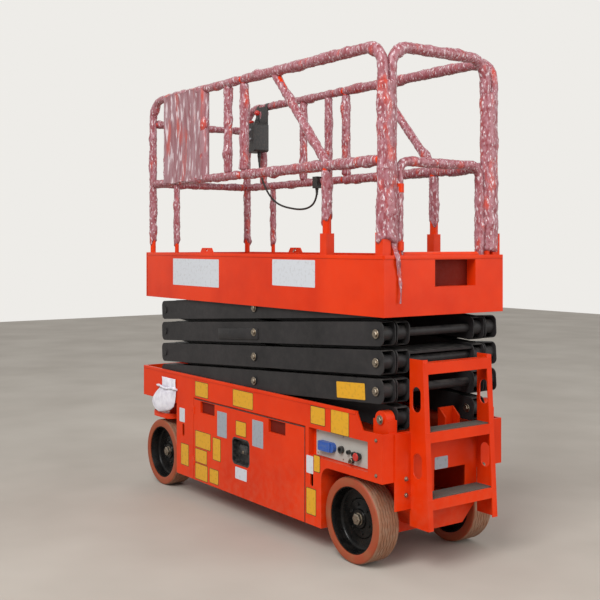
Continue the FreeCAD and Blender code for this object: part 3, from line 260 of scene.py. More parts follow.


# white is the colour of the film's painted highlight flecks
filmSetup = {"turn": (0.8, 0.8, 0), "stretch": (1, 1, 0.4), "layerMm": 15, "tightMm": 55, "paintedGlintMm": 9,
             "tightShare": 0.82, "deep": "#8c4047", "milky": "#a36c75", "paint": "#c23a22", "white": "#e2d4d8"}
panelFilmSetup = dict(filmSetup, turn=(0, 0, 0), stretch=(1, 1, 0.2), layerMm=34, tightMm=75, paintedGlintMm=20,
                      deep="#8a5158", milky="#a1777e")


def vinylPlate(name, colourHex, dirtHex):
    # Printed vinyl stuck on steel: satin and even, with a little grime rubbed into its edges and scuffs.
    material, tree, shader, place = startMaterial(name)
    scuff = spotted(tree, place, 18, 0.52, 0.74, 6.0)
    colour = mixed(tree, multiplied(tree, scuff, 0.45), linearColour(colourHex), linearColour(dirtHex))
    tree.links.new(colour, shader.inputs["Base Color"])
    tree.links.new(scaled(tree, scuff, 0.3, 0.55), shader.inputs["Roughness"])
    ripple = addNode(tree, "ShaderNodeTexNoise", {"Vector": place, "Scale": perMm(30), "Detail": 1.0})
    tree.links.new(raised(tree, ripple.outputs["Fac"], 0.3, 0.4), shader.inputs["Normal"])
    return material


def wovenCloth(name):
    # A bleached cotton rag: matt, slightly blue white, greyer in soft patches about 40 mm across. Its threads are
    # 0.4 mm apart and are drawn at 1.6 mm so that they show.
    material, tree, shader, place = startMaterial(name)
    soft = spotted(tree, place, 40, 0.4, 0.7, 4.0)
    tree.links.new(mixed(tree, soft, linearColour("#e9e7ee"), linearColour("#cfcbd6")), shader.inputs["Base Color"])
    shader.inputs["Roughness"].default_value = 0.9
    shader.inputs["Sheen Weight"].default_value = 0.25
    weft = addNode(tree, "ShaderNodeTexWave", {"Vector": place, "Scale": 98.0}, bands_direction="X")
    warp = addNode(tree, "ShaderNodeTexWave", {"Vector": place, "Scale": 98.0}, bands_direction="Z")
    weave = multiplied(tree, weft.outputs["Fac"], warp.outputs["Fac"])
    tree.links.new(raised(tree, weave, 0.3, 0.5), shader.inputs["Normal"])
    return material


def mouldedPlastic(name, colourHex, roughness):
    # Injection-moulded plastic: a clean colour with a soft gloss and a very fine texture.
    material, tree, shader, place = startMaterial(name)
    dusty = spotted(tree, place, 12, 0.5, 0.75, 4.0)
    colour = mixed(tree, multiplied(tree, dusty, 0.25), linearColour(colourHex), linearColour("#8a8078"))
    tree.links.new(colour, shader.inputs["Base Color"])
    tree.links.new(scaled(tree, dusty, roughness, roughness + 0.2), shader.inputs["Roughness"])
    return material


finishes = {name: powderCoat(name, setup) for name, setup in paintSetup.items()}
finishes["pin_steel"] = zincSteel("pin_steel", "#9f9587", 0.36)
finishes["chrome_rod"] = chromeRod("chrome_rod")
finishes["solid_tread"] = pressedRubber("solid_tread", "#983d1b", "#8d5a38", 8, 0.5)
finishes["worn_tread"] = pressedRubber("worn_tread", "#8d6248", "#a08874", 5, 0.75)
finishes["grip_pad"] = gripCoat("grip_pad")
finishes["black_plastic"] = pressedRubber("black_plastic", "#17181a", "#5d5852", 2, 0.42)
finishes["battery_case"] = pressedRubber("battery_case", "#1f2022", "#6a645c", 4, 0.5)
finishes["blue_plastic"] = pressedRubber("blue_plastic", "#1f4fa3", "#5d6f8f", 2, 0.3)
finishes["cable_rubber"] = pressedRubber("cable_rubber", "#141414", "#514c47", 2, 0.5)
finishes["wrap_film"] = shippingFilm("wrap_film", filmSetup)
finishes["stretch_film"] = shippingFilm("stretch_film", panelFilmSetup)
finishes["label_yellow"] = vinylPlate("label_yellow", "#d99f12", "#8f6c22")
finishes["label_white"] = vinylPlate("label_white", "#ccd0d6", "#a5a3a2")
finishes["label_grey"] = vinylPlate("label_grey", "#9aa0a8", "#6f7075")
finishes["label_edge"] = vinylPlate("label_edge", "#3a2c12", "#57452c")
finishes["white_cloth"] = wovenCloth("white_cloth")
finishes["red_plastic"] = mouldedPlastic("red_plastic", "#b81c12", 0.3)
finishes["yellow_plastic"] = mouldedPlastic("yellow_plastic", "#e0b010", 0.35)
finishes["grey_plastic"] = mouldedPlastic("grey_plastic", "#85898d", 0.35)


def dressNodes(record):
    # Each carried-over node takes the finish of its own slot.
    for part in record["subparts"]:
        material = finishes[part["material_slot"]]
        mesh = nodes[part["node"]].data
        mesh.materials.clear()
        mesh.materials.append(material)


dressNodes(frame["record"])
print("finishes:", len(finishes))


# Stage: a pale floor with a soft shadow, a plain backdrop, and soft light from the camera's left

stageSetup = {
    "floorHalf": 14.0,
    "floorColour": "#aba399",
    "backdrop": "#eeece8",
    "ambient": 0.60,
    "keyPower": 520.0,
    "keyPlace": (-3.4, 5.6, 6.4),
    "keySize": 4.0,
    "fillPower": 170.0,
    "fillPlace": (-6.5, -3.0, 3.2),
    "fillSize": 5.0,
}


def makeStage(setup):
    half = setup["floorHalf"]
    mesh = bpy.data.meshes.new("floor")
    mesh.from_pydata([(-half, -half, 0), (half, -half, 0), (half, half, 0), (-half, half, 0)], [], [(0, 1, 2, 3)])
    floor = bpy.data.objects.new("floor", mesh)
    bpy.context.scene.collection.objects.link(floor)
    material, tree, shader, place = startMaterial("floorPaint")
    patchy = mixed(tree, spotted(tree, place, 900, 0.3, 0.7), linearColour(setup["floorColour"]),
                   linearColour("#b9b2a8"))
    tree.links.new(patchy, shader.inputs["Base Color"])
    shader.inputs["Roughness"].default_value = 0.85
    mesh.materials.append(material)

    world = bpy.data.worlds.new("studio")
    bpy.context.scene.world = world
    world.use_nodes = True
    tree = world.node_tree
    tree.nodes.clear()
    path = addNode(tree, "ShaderNodeLightPath")
    seen = addNode(tree, "ShaderNodeMath", {0: path.outputs["Is Camera Ray"], 1: path.outputs["Is Glossy Ray"]},
                   operation="MAXIMUM")
    seen = addNode(tree, "ShaderNodeMath", {0: seen.outputs[0], 1: path.outputs["Is Transmission Ray"]},
                   operation="MAXIMUM")
    pale = addNode(tree, "ShaderNodeBackground", {"Color": linearColour(setup["backdrop"]), "Strength": 1.0})
    ambient = addNode(tree, "ShaderNodeBackground", {"Color": linearColour("#ffffff"), "Strength": setup["ambient"]})
    either = addNode(tree, "ShaderNodeMixShader", {0: seen.outputs[0], 1: ambient.outputs[0], 2: pale.outputs[0]})
    addNode(tree, "ShaderNodeOutputWorld", {"Surface": either.outputs[0]})

    for name in ("key", "fill"):
        light = bpy.data.lights.new(name + "Light", "AREA")
        light.energy, light.size = setup[name + "Power"], setup[name + "Size"]
        lamp = bpy.data.objects.new(name + "Light", light)
        lamp.location = setup[name + "Place"]
        lamp.rotation_euler = (Vector((0, 0, 1.0)) - lamp.location).to_track_quat("-Z", "Y").to_euler()
        bpy.context.scene.collection.objects.link(lamp)
    bpy.context.scene.view_settings.view_transform = "Standard"


makeStage(stageSetup)
print("stage made")


# Surfaces on grids of points (along, across, 3)

def surfaceMesh(name, surfaces, sharpDegrees=40):
    # One mesh from several grids. A "tube" closes across itself and has a cap at each end, a "ring" closes
    # both ways and a "sheet" stays open. A surface's tones are its material numbers: its own and its end cap's.
    points, faces, tones, start = [], [], [], 0
    for grid, kind, tone, capTone in surfaces:
        along, across = grid.shape[:2]
        index = start + np.arange(along * across).reshape(along, across)
        if kind == "ring":
            index = np.vstack([index, index[:1]])
        if kind != "sheet":
            index = np.hstack([index, index[:, :1]])
        quads = np.stack([index[:-1, :-1], index[:-1, 1:], index[1:, 1:], index[1:, :-1]], axis=-1).reshape(-1, 4)
        faces += quads.tolist()
        tones += [tone] * len(quads)
        if kind == "tube":
            faces += [index[0, -2::-1].tolist(), index[-1, :-1].tolist()]
            tones += [tone, capTone]
        points.append(grid.reshape(-1, 3))
        start += along * across
    mesh = bpy.data.meshes.new(name)
    mesh.from_pydata(np.vstack(points).tolist(), [], faces)
    mesh.polygons.foreach_set("use_smooth", np.ones(len(faces), dtype=bool))
    mesh.polygons.foreach_set("material_index", np.array(tones, dtype=np.int32))
    mesh.set_sharp_from_angle(angle=np.radians(sharpDegrees))
    return mesh


def tube(grid, tone=0, capTone=None):
    return grid, "tube", tone, tone if capTone is None else capTone


def addPiece(name, surfaces, body, slot, *finishNames, sharpDegrees=40):
    # A piece at the origin that rides on a body, with one or more finishes.
    piece = bpy.data.objects.new(name, surfaceMesh(name, surfaces, sharpDegrees))
    bpy.context.scene.collection.objects.link(piece)
    for finish in finishNames or (slot,):
        piece.data.materials.append(finishes[finish])
    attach(piece, body)
    return piece


def unit(vector):
    vector = np.asarray(vector, dtype=float)
    return vector / np.linalg.norm(vector, axis=-1, keepdims=True)


def planeOf(axis):
    # Two directions across an axis that make a right-handed frame with it.
    axis = unit(axis)
    first = unit(np.cross((0.0, 0.0, 1.0) if abs(axis[2]) < 0.9 else (0.0, 1.0, 0.0), axis))
    return first, np.cross(axis, first), axis


def turned(centre, axis, profile, around=32, corners=0):
    # A turned form: each (height, radius) of the profile is a circle about the axis. With corners, the circle
    # is a polygon of that many flats: the radius over the cosine of the angle from the middle of its flat.
    first, second, axis = planeOf(axis)
    profile = np.array(profile, dtype=float)
    angle = 2 * np.pi * np.arange(around) / around
    half = np.pi / corners if corners else 0
    shape = 1 / np.cos(angle % (2 * half) - half) if corners else np.ones(around)
    spokes = shape[:, None] * (np.cos(angle)[:, None] * first + np.sin(angle)[:, None] * second)
    return np.asarray(centre) + profile[:, :1, None] * axis + profile[:, 1:, None] * spokes


def roundedOutline(width, height, corner, perCorner=6):
    # Points counter-clockwise round a rectangle with round corners: quarter circles about the four corners.
    step = np.arange(4 * perCorner)
    quarter = step // perCorner
    angle = np.pi / 2 * (quarter + step % perCorner / (perCorner - 1))
    signX, signY = np.array([1, -1, -1, 1])[quarter], np.array([1, 1, -1, -1])[quarter]
    return np.stack([signX * (width / 2 - corner) + corner * np.cos(angle),
                     signY * (height / 2 - corner) + corner * np.sin(angle)], -1)


def moulded(centre, across, up, sections, corner):
    # A moulded block: rounded rectangles (depth, width, height) one above another along across x up.
    across, up = unit(across), unit(up)
    out = np.cross(across, up)
    rows = [np.asarray(centre) + depth * out + outline[:, :1] * across + outline[:, 1:] * up
            for depth, width, height in sections
            for outline in [roundedOutline(width, height, min(corner, 0.45 * min(width, height)))]]
    return np.stack(rows)


# The wheels: a turned solid tyre with grooves round its face, pressed on a deep black rim

wheelSetup = {
    "radius": 0.198,
    "seat": 0.154,
    "width": 0.125,
    "shoulder": 0.012,
    "grooves": (-0.040, -0.024, -0.008, 0.008, 0.024, 0.040),
    "grooveHalf": 0.0015,
    "grooveDepth": 0.0034,
    "wave": 0.0028,               # of the grooves to each side
    "waves": 22,
    "rimHalf": 0.0575,
    "rimWall": 0.006,
    "dish": 0.000,                # outer face of the dish from the wheel's middle
    "hub": 0.044,
    "hubFace": 0.016,
    "middleY": 0.2995,
    "axleZ": 0.198,
    "axleX": {"f": 1.0, "r": -0.845},
    "around": 176,
}


def tyreProfile(setup):
    # (height along the axle, radius) from the inner edge of one side, over the face, back to the seat: quarter
    # circles at the shoulders, and straight-sided grooves between.
    half, shoulder = setup["width"] / 2, setup["shoulder"]
    turn = np.linspace(0, np.pi / 2, 6)
    side = np.stack([-half + shoulder - shoulder * np.cos(turn),
                     setup["radius"] - shoulder + shoulder * np.sin(turn)], -1)
    groove = np.array([(-1.35, 0.0), (-0.9, -0.1), (-0.75, -1.0), (0.75, -1.0), (0.9, -0.1), (1.35, 0.0)])
    cuts = [np.array((at, setup["radius"])) + groove * (setup["grooveHalf"], setup["grooveDepth"])
            for at in setup["grooves"]]
    lip = np.array([(-half + 0.0015, setup["seat"]), (-half, setup["seat"] + 0.003), (-half, setup["seat"] + 0.02)])
    first = np.vstack([lip, side])
    return np.vstack([first, *cuts, (first * (-1, 1))[::-1]])


def rimProfile(setup):
    # Outside first: from the inner lip along the seat to the outer lip, then back along the wall, in over the
    # dish, its raised ring and the hub, as heights along the axle towards the outside.
    half, seat, wall, dish = setup["rimHalf"], setup["seat"], setup["rimWall"], setup["dish"]
    bore, hub, face = seat - wall, setup["hub"], setup["hubFace"]
    return [(-0.036, hub - 0.002), (dish - 0.010, hub), (dish - 0.010, bore - 0.004), (-half, bore - 0.001),
            (-half, seat), (half - 0.002, seat), (half, seat - 0.0015), (half, bore + 0.0015), (half - 0.002, bore),
            (dish + 0.012, bore - 0.003), (dish + 0.004, bore - 0.007), (dish, bore - 0.015), (dish, 0.094),
            (dish + 0.004, 0.090), (dish + 0.005, 0.086), (dish + 0.005, hub + 0.006), (dish + 0.007, hub + 0.002),
            (face - 0.002, hub), (face, hub - 0.002), (face, 0.026)]


def makeWheels(setup):
    tyre, around = tyreProfile(setup), setup["around"]
    angle = 2 * np.pi * np.arange(around) / around
    half = setup["width"] / 2
    for end, x in setup["axleX"].items():
        for side, sign in (("l", 1), ("r", -1)):
            wheel, out = end + side, (0, sign, 0)
            centre = np.array((x, sign * setup["middleY"], setup["axleZ"]))
            ring = turned(centre, (0, 1, 0), tyre, around)
            # Wear: soft patches round the face are lower by a fraction of a millimetre, and the grooves run in
            # waves of wave x sin(waves x angle + a phase that grows across the face).
            wear = 0.0003 * (2 + np.sin(5 * angle + x) + np.sin(11 * angle + 2 * sign))
            outer = np.clip((tyre[:, 1] - 0.19) / 0.006, 0, 1)
            ring -= (wear * outer[:, None])[..., None] * unit(ring - ring.mean(axis=1, keepdims=True))
            across = outer * np.clip((half - 0.014 - np.abs(tyre[:, 0])) / 0.006, 0, 1)
            ring[..., 1] += setup["wave"] * across[:, None] * np.sin(setup["waves"] * angle + 70 * tyre[:, :1])
            piece = addPiece("tyre_" + wheel, [(ring, "ring", 0, 0)], "wheel_" + wheel, "solid_tread",
                             "solid_tread", "worn_tread")
            ahead = np.roll(tyre, -1, axis=0)
            face = (np.abs(tyre[:, 0] + ahead[:, 0]) / 2 < half - setup["shoulder"] / 2) & \
                (np.minimum(tyre[:, 1], ahead[:, 1]) > setup["radius"] - 0.02)
            piece.data.polygons.foreach_set("material_index", np.repeat(face, around).astype(np.int32))
            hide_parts("tread_" + wheel)
            bolts = []
            for k in range(6):
                spoke = np.array((np.cos(np.pi / 3 * k + 0.3), 0, np.sin(np.pi / 3 * k + 0.3))) * 0.067
                bolts += boltHead(centre + spoke + np.array(out) * (setup["dish"] + 0.005), out, 0.009, 0.0062, 0.0055)
            rim = addPiece("rim_disc_" + wheel, [tube(turned(centre, out, rimProfile(setup), around))] + bolts,
                           "wheel_" + wheel, "black_rim")
            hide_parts("rim_" + wheel)
            # The zinc nut on the stub axle doesn't turn with the wheel.
            seat = centre + np.array(out) * setup["hubFace"]
            nut = [tube(turned(seat, out, [(0.0004, 0.0285), (0.0024, 0.0285), (0.003, 0.0275)], 40)),
                   tube(turned(seat, out, [(0.0025, 0.0237), (0.0160, 0.0237), (0.0170, 0.0225), (0.0170, 0.0120),
                                           (0.0200, 0.0115)], 36, 6))]
            carrier = "chassis" if end == "r" else {"l": "knuckle_left", "r": "knuckle_right"}[side]
            addPiece("castle_nut_" + wheel, nut, carrier, "pin_steel")


def boltHead(seat, axis, washer, head, height):
    # A washer and a hexagon head with a chamfered top; head is half its width across flats.
    return [tube(turned(seat, axis, [(-0.0008, washer * 0.98), (0.0016, washer), (0.0024, washer * 0.96)], 28)),
            tube(turned(seat, axis, [(0.0018, head), (0.0018 + height * 0.85, head), (0.0018 + height, head * 0.9)],
                        24, 6))]


makeWheels(wheelSetup)
print("wheels made")


# Shipping film: bubble film wound round the pipes of the guard rails, one piece for each body

wrapSetup = {
    "step": 0.0065,
    "around": 26,
    "lift": 0.0028,               # of the film from the pipe
    "pitch": 0.085,               # of the winding
    "overlap": 0.0018,
    "crease": 0.0014,
    "crinkle": 0.00022,
    "slack": 0.0042,
    "taper": 0.009,
    "railY": 0.349,
    "topZ": 2.356,
    "midZ": 1.843,
}


def railPath(corners, bend=0.1):
    # Straight runs joined by arcs of one radius, as points 3 mm apart: each arc is centre + bend x (cos, sin)
    # between the middle of its two runs, and the whole is sampled again evenly by its length.
    corners = np.array(corners, dtype=float)
    runs = [corners[:1]]
    for before, here, after in zip(corners, corners[1:], corners[2:]):
        back, on = unit(before - here), unit(after - here)
        half = np.arccos(np.clip(back @ on, -1, 1)) / 2
        middle = here + unit(back + on) * bend / np.sin(half)
        turn = np.linspace(half - np.pi / 2, np.pi / 2 - half, 24)[:, None]
        runs.append(middle - bend * np.cos(turn) * unit(back + on) + bend * np.sin(turn) * unit(on - back))
    points = np.vstack(runs + [corners[-1:]])
    length = np.r_[0, np.cumsum(np.linalg.norm(np.diff(points, axis=0), axis=1))]
    even = np.linspace(0, length[-1], int(length[-1] / 0.003) + 2)
    return np.stack([np.interp(even, length, points[:, k]) for k in range(3)], -1)


def filmTube(path, sideways, halves, seed, lift=None, ragged=(0.0, 0.0), swell=None):
    # Film wound round a pipe: path + sideways x cos(a) x (half + extra) + across x sin(a) x (half + extra).
    # extra is lift + overlap x (1 - part of a winding) + narrow creases (1 - |sin|)^6 + crinkles + slack lumps,
    # and falls below the pipe's surface at both ends, whose edges wander by ragged.
    setup, random = wrapSetup, np.random.default_rng(seed)
    lift = setup["lift"] if lift is None else lift
    along = np.r_[0, np.cumsum(np.linalg.norm(np.diff(path, axis=0), axis=1))]
    heading = unit(np.gradient(path, axis=0))
    turn = 2 * np.pi * np.arange(setup["around"])[None, :] / setup["around"]
    share = np.linspace(0, 1, int(along[-1] / setup["step"]) + 2)[:, None]
    phase = random.uniform(0, 2 * np.pi, 8)
    wander = 0.5 + 0.3 * np.cos(turn + phase[0]) + 0.2 * np.cos(3 * turn + phase[1])
    first, last = ragged[0] * wander, along[-1] - ragged[1] * (1 - wander)
    s = first + share * (last - first)
    centre = np.stack([np.interp(s, along, path[:, k]) for k in range(3)], -1)
    ahead = unit(np.stack([np.interp(s, along, heading[:, k]) for k in range(3)], -1))
    side = np.asarray(sideways, dtype=float)
    across = np.cross(ahead, side)

    extra = lift + setup["overlap"] * (1 - (s / setup["pitch"] - turn / (2 * np.pi)) % 1)
    for strength in (1.0, 0.8, 0.8, 0.6, 0.6, 0.5):
        halfTurns, wave = random.integers(0, 4), random.uniform(0.025, 0.095) * random.choice([-1, 1])
        slope = halfTurns * turn / 2 + np.pi * s / wave + random.uniform(0, np.pi)
        extra = extra + setup["crease"] * strength * (1 - np.abs(np.sin(slope))) ** 6
    for k in range(6):
        extra = extra + setup["crinkle"] * np.sin(random.integers(3, 9) * turn + 2 * np.pi * s /
                                                  random.uniform(0.014, 0.04) + random.uniform(0, 6))
    lump = np.clip(np.sin(2 * np.pi * s / 0.19 + phase[2]), 0, 1) ** 2 + \
        np.clip(np.sin(2 * np.pi * s / 0.31 + phase[3]), 0, 1) ** 3
    extra = extra + setup["slack"] * lump * (0.35 + np.clip(np.cos(turn - phase[4] - s / 0.12), 0, 1))
    if swell:
        extra = extra + swell[1] * np.clip((swell[0] - s) / 0.06, 0, 1) * (0.75 + 0.25 * np.cos(turn + phase[5]))
    held = np.clip(np.minimum(s - first, last - s) / setup["taper"], 0, 1)
    held = held * held * (3 - 2 * held)
    extra = extra * held - 0.002 * (1 - held)
    point = centre + side * (np.cos(turn) * (halves[0] + extra))[..., None] \
        + across * (np.sin(turn) * (halves[1] + extra))[..., None]
    return tube(point)


def platformFilm(setup):
    top, mid, rear = setup["topZ"], setup["midZ"], -1.055
    acrossY, acrossX = (0, 1, 0), (1, 0, 0)
    surfaces = []
    for side in (1, -1):
        y, seed = side * setup["railY"], 100 + side * 20
        pipe, brace, bundle = (0.021, 0.021), (0.0168, 0.0168), (0.0465, 0.027)
        foot, swell = (1.45, (0.26, 0.008)) if side > 0 else (1.425, (0.2, 0.003))
        surfaces += [
            filmTube(railPath([(rear, y, 2.18), (rear, y, top), (0.094, y, top)]), acrossY, pipe, seed),
            filmTube(railPath([(-1.03, y, mid), (0.094, y, mid)]), acrossY, pipe, seed + 1),
            filmTube(railPath([(0.0832, y, 1.865), (0.0832, y, 2.334)]), acrossY, brace, seed + 2, 0.0065),
            filmTube(railPath([(-0.647, y, 1.55), (-0.647, y, 1.822)]), acrossY, pipe, seed + 3, None, (0.06, 0)),
            filmTube(railPath([(-0.647, y, 1.855), (-0.206, y, 2.345)]), acrossY, brace, seed + 4),
            filmTube(railPath([(rear, side * 0.3245, foot), (rear, side * 0.3245, 2.2)]), acrossY, bundle, seed + 5,
                     0.003, (0.04 if side > 0 else 0.015, 0), swell),
        ]
    hoop = railPath([(rear, 0.3, 2.18), (rear, 0.3, top), (rear, -0.3, top), (rear, -0.3, 2.18)])
    surfaces.append(filmTube(hoop, acrossX, (0.021, 0.021), 160))
    return surfaces


def rollOutFilm(setup):
    top, mid, front = setup["topZ"], setup["midZ"], 1.14
    acrossY, acrossX = (0, 1, 0), (1, 0, 0)
    pipe, surfaces = (0.0165, 0.0165), []
    for side in (1, -1):
        y, seed = side * setup["railY"], 200 + side * 20
        loop = railPath([(0.112, y, top), (front, y, top), (front, y, 1.45)], 0.12)
        surfaces += [filmTube(loop, acrossY, pipe, seed, 0.0042, (0, 0.05)),
                     filmTube(railPath([(0.112, y, mid), (1.125, y, mid)]), acrossY, pipe, seed + 1, 0.0042)]
        surfaces += [filmTube(railPath([(x, y, 1.86), (x, y, 2.34)]), acrossY, (0.0155, 0.0155), seed + 2 + k, 0.0062)
                     for k, x in enumerate((0.25, 0.502, 0.945))]
        surfaces.append(filmTube(railPath([(0.833, y, 1.45), (0.833, y, 1.832)]), acrossY, (0.012, 0.012), seed + 6,
                                 0.0042, (0.03, 0)))
    surfaces += [filmTube(railPath([(front, -0.33, z), (front, 0.33, z)]), acrossX, pipe, 260 + k)
                 for k, z in enumerate((mid, 2.216))]
    return surfaces


def gateFilm():
    rear = -1.055
    hoop = railPath([(rear, 0.257, 1.36), (rear, 0.257, 1.843), (rear, -0.257, 1.843), (rear, -0.257, 1.36)], 0.06)
    return [filmTube(hoop, (1, 0, 0), (0.017, 0.017), 300, None, (0.09, 0.06))]


def hangingStrand():
    # A torn end of film: a flat twisted strip, centre(s) + width x (cos, sin)(twist) + thickness across it. It
    # comes off the film of the corner posts, crosses over the toe board and hangs down outside it.
    s = np.linspace(0, 1, 90)[:, None]
    around = 2 * np.pi * np.arange(12)[None, :] / 12
    over = np.clip(s / 0.32, 0, 1)
    centre = np.stack([-1.080 - 0.026 * over * over * (3 - 2 * over) - 0.003 * np.sin(9 * s) * over,
                       0.303 - 0.014 * s + 0.004 * np.sin(7 * s), 1.475 - 0.27 * s], -1)
    twist = 0.5 * np.sin(5 * s) + 0.4 * np.sin(13 * s)
    wide = np.stack([np.sin(twist) * 0.3, np.cos(twist), np.zeros_like(twist)], -1)
    thick = np.stack([np.cos(twist), -np.sin(twist) * 0.3, np.zeros_like(twist)], -1)
    half = 0.017 * (1 - 0.60 * s) * (0.9 + 0.1 * np.sin(40 * s))
    point = centre + wide * (np.cos(around) * half)[..., None] + thick * (np.sin(around) * 0.0018)[..., None]
    return tube(point)


def filmPanel(setup):
    # Stretch film wound round two posts of the left rail: a racetrack outline, pulled in between its posts,
    # with upright streaks (1 - |sin|)^4, and an inner wall 1.2 mm inside it.
    random = np.random.default_rng(41)
    low, high, half = 0.502, 0.945, 0.0255
    straight, bend = np.linspace(0, 1, 72, endpoint=False), np.linspace(0, np.pi, 14, endpoint=False)
    x = np.r_[high - straight * (high - low), low - half * np.sin(bend),
              low + straight * (high - low), high + half * np.sin(bend)]
    y = np.r_[np.full(72, half), half * np.cos(bend), np.full(72, -half), -half * np.cos(bend)]
    around = np.stack([x, y, 0 * x], -1)[None]
    away = np.stack([np.where((x < low) | (x > high), np.sign(x - 0.72), 0.0), np.sign(y), 0 * x], -1)[None]
    v = np.linspace(0, 1, 64)[:, None]
    u = np.clip((x - low) / (high - low), 0, 1)[None]
    middle = 4 * u * (1 - u)
    streak = np.zeros((64, x.size))
    for k in range(16):
        wave, lean = random.uniform(0.025, 0.11), random.uniform(-0.05, 0.05)
        slope = np.pi * (x[None] + lean * v) / wave + random.uniform(0, np.pi) + 0.3 * np.sin(5 * v + k)
        streak += random.uniform(0.3, 1.0) * (1 - np.abs(np.sin(slope))) ** 5
    push = 0.0018 * streak * middle ** 0.3 - 0.010 * middle * (4 * v * (1 - v)) ** 0.5
    height = 1.836 + v * (2.362 - 1.836) + 0.004 * np.sin(31 * x + 2 * y * 20)[None] * (2 * v - 1)
    outer = around + unit(away + 1e-9) * push[..., None]
    outer = np.stack([outer[..., 0], outer[..., 1] + setup["railY"], height + 0 * push], -1)
    inner = outer - unit(away + 1e-9) * 0.0012
    return np.concatenate([outer, inner[::-1]], axis=0)


addPiece("film_platform", platformFilm(wrapSetup) + [hangingStrand()], "platform", "wrap_film", sharpDegrees=75)
addPiece("film_roll_out", rollOutFilm(wrapSetup), "roll_out", "wrap_film", sharpDegrees=75)
addPiece("film_gate", gateFilm(), "gate", "wrap_film", sharpDegrees=75)
panel = addPiece("film_panel", [(filmPanel(wrapSetup), "ring", 0, 0)], "roll_out", "wrap_film", "stretch_film",
                 sharpDegrees=75)
print("film wound")


# Blank plates: vinyl with a thin dark edge, or plain, on the outside of the left-hand sheets

plateSetup = {
    "thick": 0.0008,
    "sunk": 0.001,
    "corner": 0.005,
    "edge": 0.0028,
    "skinY": 0.378,
    "yellow": {
        "chassis": [(0.416, 0.562, 0.596, 0.684), (-0.047, 0.153, 0.595, 0.687), (-0.672, -0.555, 0.604, 0.692),
                    (-0.852, -0.715, 0.583, 0.700), (0.637, 0.730, 0.175, 0.302),
                    (-0.632, -0.580, 0.377, 0.459), (-0.600, -0.520, 0.163, 0.292)],
        "door_left": [(0.388, 0.560, 0.306, 0.402), (0.280, 0.365, 0.265, 0.392), (0.428, 0.560, 0.220, 0.300),
                      (0.421, 0.560, 0.124, 0.216), (0.303, 0.400, 0.131, 0.214), (0.020, 0.123, 0.441, 0.521)],
    },
    "white": {
        "chassis": [(0.684, 0.747, 0.425, 0.506), (-0.577, -0.522, 0.362, 0.447)],
        "door_left": [(0.014, 0.128, 0.208, 0.271)],
        "platform": [(0.300, 0.826, 1.228, 1.384), (-0.591, -0.227, 1.2595, 1.392)],
    },
    "grey": {"door_left": [(0.216, 0.316, 0.406, 0.545), (-0.143, -0.040, 0.410, 0.549)]},
}


def plate(centre, across, up, width, height, tones=(0, 1)):
    # Rounded outlines: sunk in the sheet, at the face, and set in by the dark edge; the cap is the field.
    setup = plateSetup
    sections = [(-setup["sunk"], width, height), (setup["thick"], width, height),
                (setup["thick"], width - 2 * setup["edge"], height - 2 * setup["edge"])]
    return tube(moulded(centre, across, up, sections, setup["corner"]), *tones)


def makePlates(setup):
    for colour in ("yellow", "white", "grey"):
        tones = (0, 1) if colour == "yellow" else (1, 1)
        for body, places in setup[colour].items():
            surfaces = [plate(((x0 + x1) / 2, setup["skinY"], (z0 + z1) / 2), (-1, 0, 0), (0, 0, 1), x1 - x0, z1 - z0,
                              tones) for x0, x1, z0, z1 in places]
            addPiece("_".join(("plates", colour, body)), surfaces, body,
                     "label_yellow" if colour == "yellow" else "label_white", "label_edge", "label_" + colour)
    # One on the lowest outer arm, along its slope, and one on the back of the chassis between the stiles.
    slope = np.array((1, 0, -0.0646))
    middle = np.array((-0.8415, 0.360, 0.813 - 0.0646 * (1.025 - 0.8415) - 0.006))
    addPiece("plate_arm", [plate(middle, -slope, (0.0646, 0, 1), 0.213, 0.080)], "level_b1", "label_yellow",
             "label_edge", "label_yellow")
    addPiece("plate_rear", [plate((-1.085, 0.0215, 0.464), (0, -1, 0), (0, 0, 1), 0.083, 0.056, (1, 1))], "chassis",
             "label_white", "label_edge", "label_grey")


makePlates(plateSetup)


# Bolts and pins' ends: zinc washers and heads at the pivots, and on the plates that are bolted on

boltSetup = {
    "faceY": 0.366,
    "rearX": -1.025,
    "rearZ": (0.813, 0.941, 1.069, 1.197),
    "middleX": -0.035,
    "middleZ": (0.749, 0.877, 1.005, 1.133),
    "frontX": 0.955,
    "footZ": 0.685,
    "lugY": 0.341,
    "laneY": 0.202,
    "washer": 0.021,
    "head": 0.0125,
    "height": 0.008,
}


def makeBolts(setup):
    def ends(x, z, y=setup["faceY"]):
        return [surface for side in (1, -1) for surface in
                boltHead((x, side * y, z), (0, side, 0), setup["washer"], setup["head"], setup["height"])]

    levels = [{"a": [], "b": []} for _ in range(4)]
    for k in range(4):
        levels[k]["b"] += ends(setup["rearX"], setup["rearZ"][k])
        levels[k]["a"] += ends(setup["middleX"], setup["middleZ"][k])
    levels[0]["b"] += ends(setup["frontX"], setup["footZ"])
    for k, level in enumerate(levels):
        for letter, surfaces in level.items():
            body = "level_" + letter + str(k + 1)
            addPiece("pin_heads_" + letter + str(k + 1), surfaces, body, "pin_steel")
    chassis = ends(setup["rearX"], setup["footZ"], setup["lugY"])
    for side in (1, -1):
        chassis += boltHead((setup["rearX"], side * setup["laneY"], setup["footZ"]), (0, -side, 0), setup["washer"],
                            setup["head"], setup["height"])
        for z in (0.600, 0.444):
            chassis += boltHead((-1.044, side * 0.378, z), (0, side, 0), 0.0085, 0.006, 0.0045)
    for y in (-0.245, 0.245):
        for z in (0.421, 0.349):
            chassis += boltHead((-1.093, y, z), (-1, 0, 0), 0.011, 0.0075, 0.006)
    addPiece("chassis_bolts", chassis, "chassis", "pin_steel")


makeBolts(boltSetup)
print("plates and bolts made")
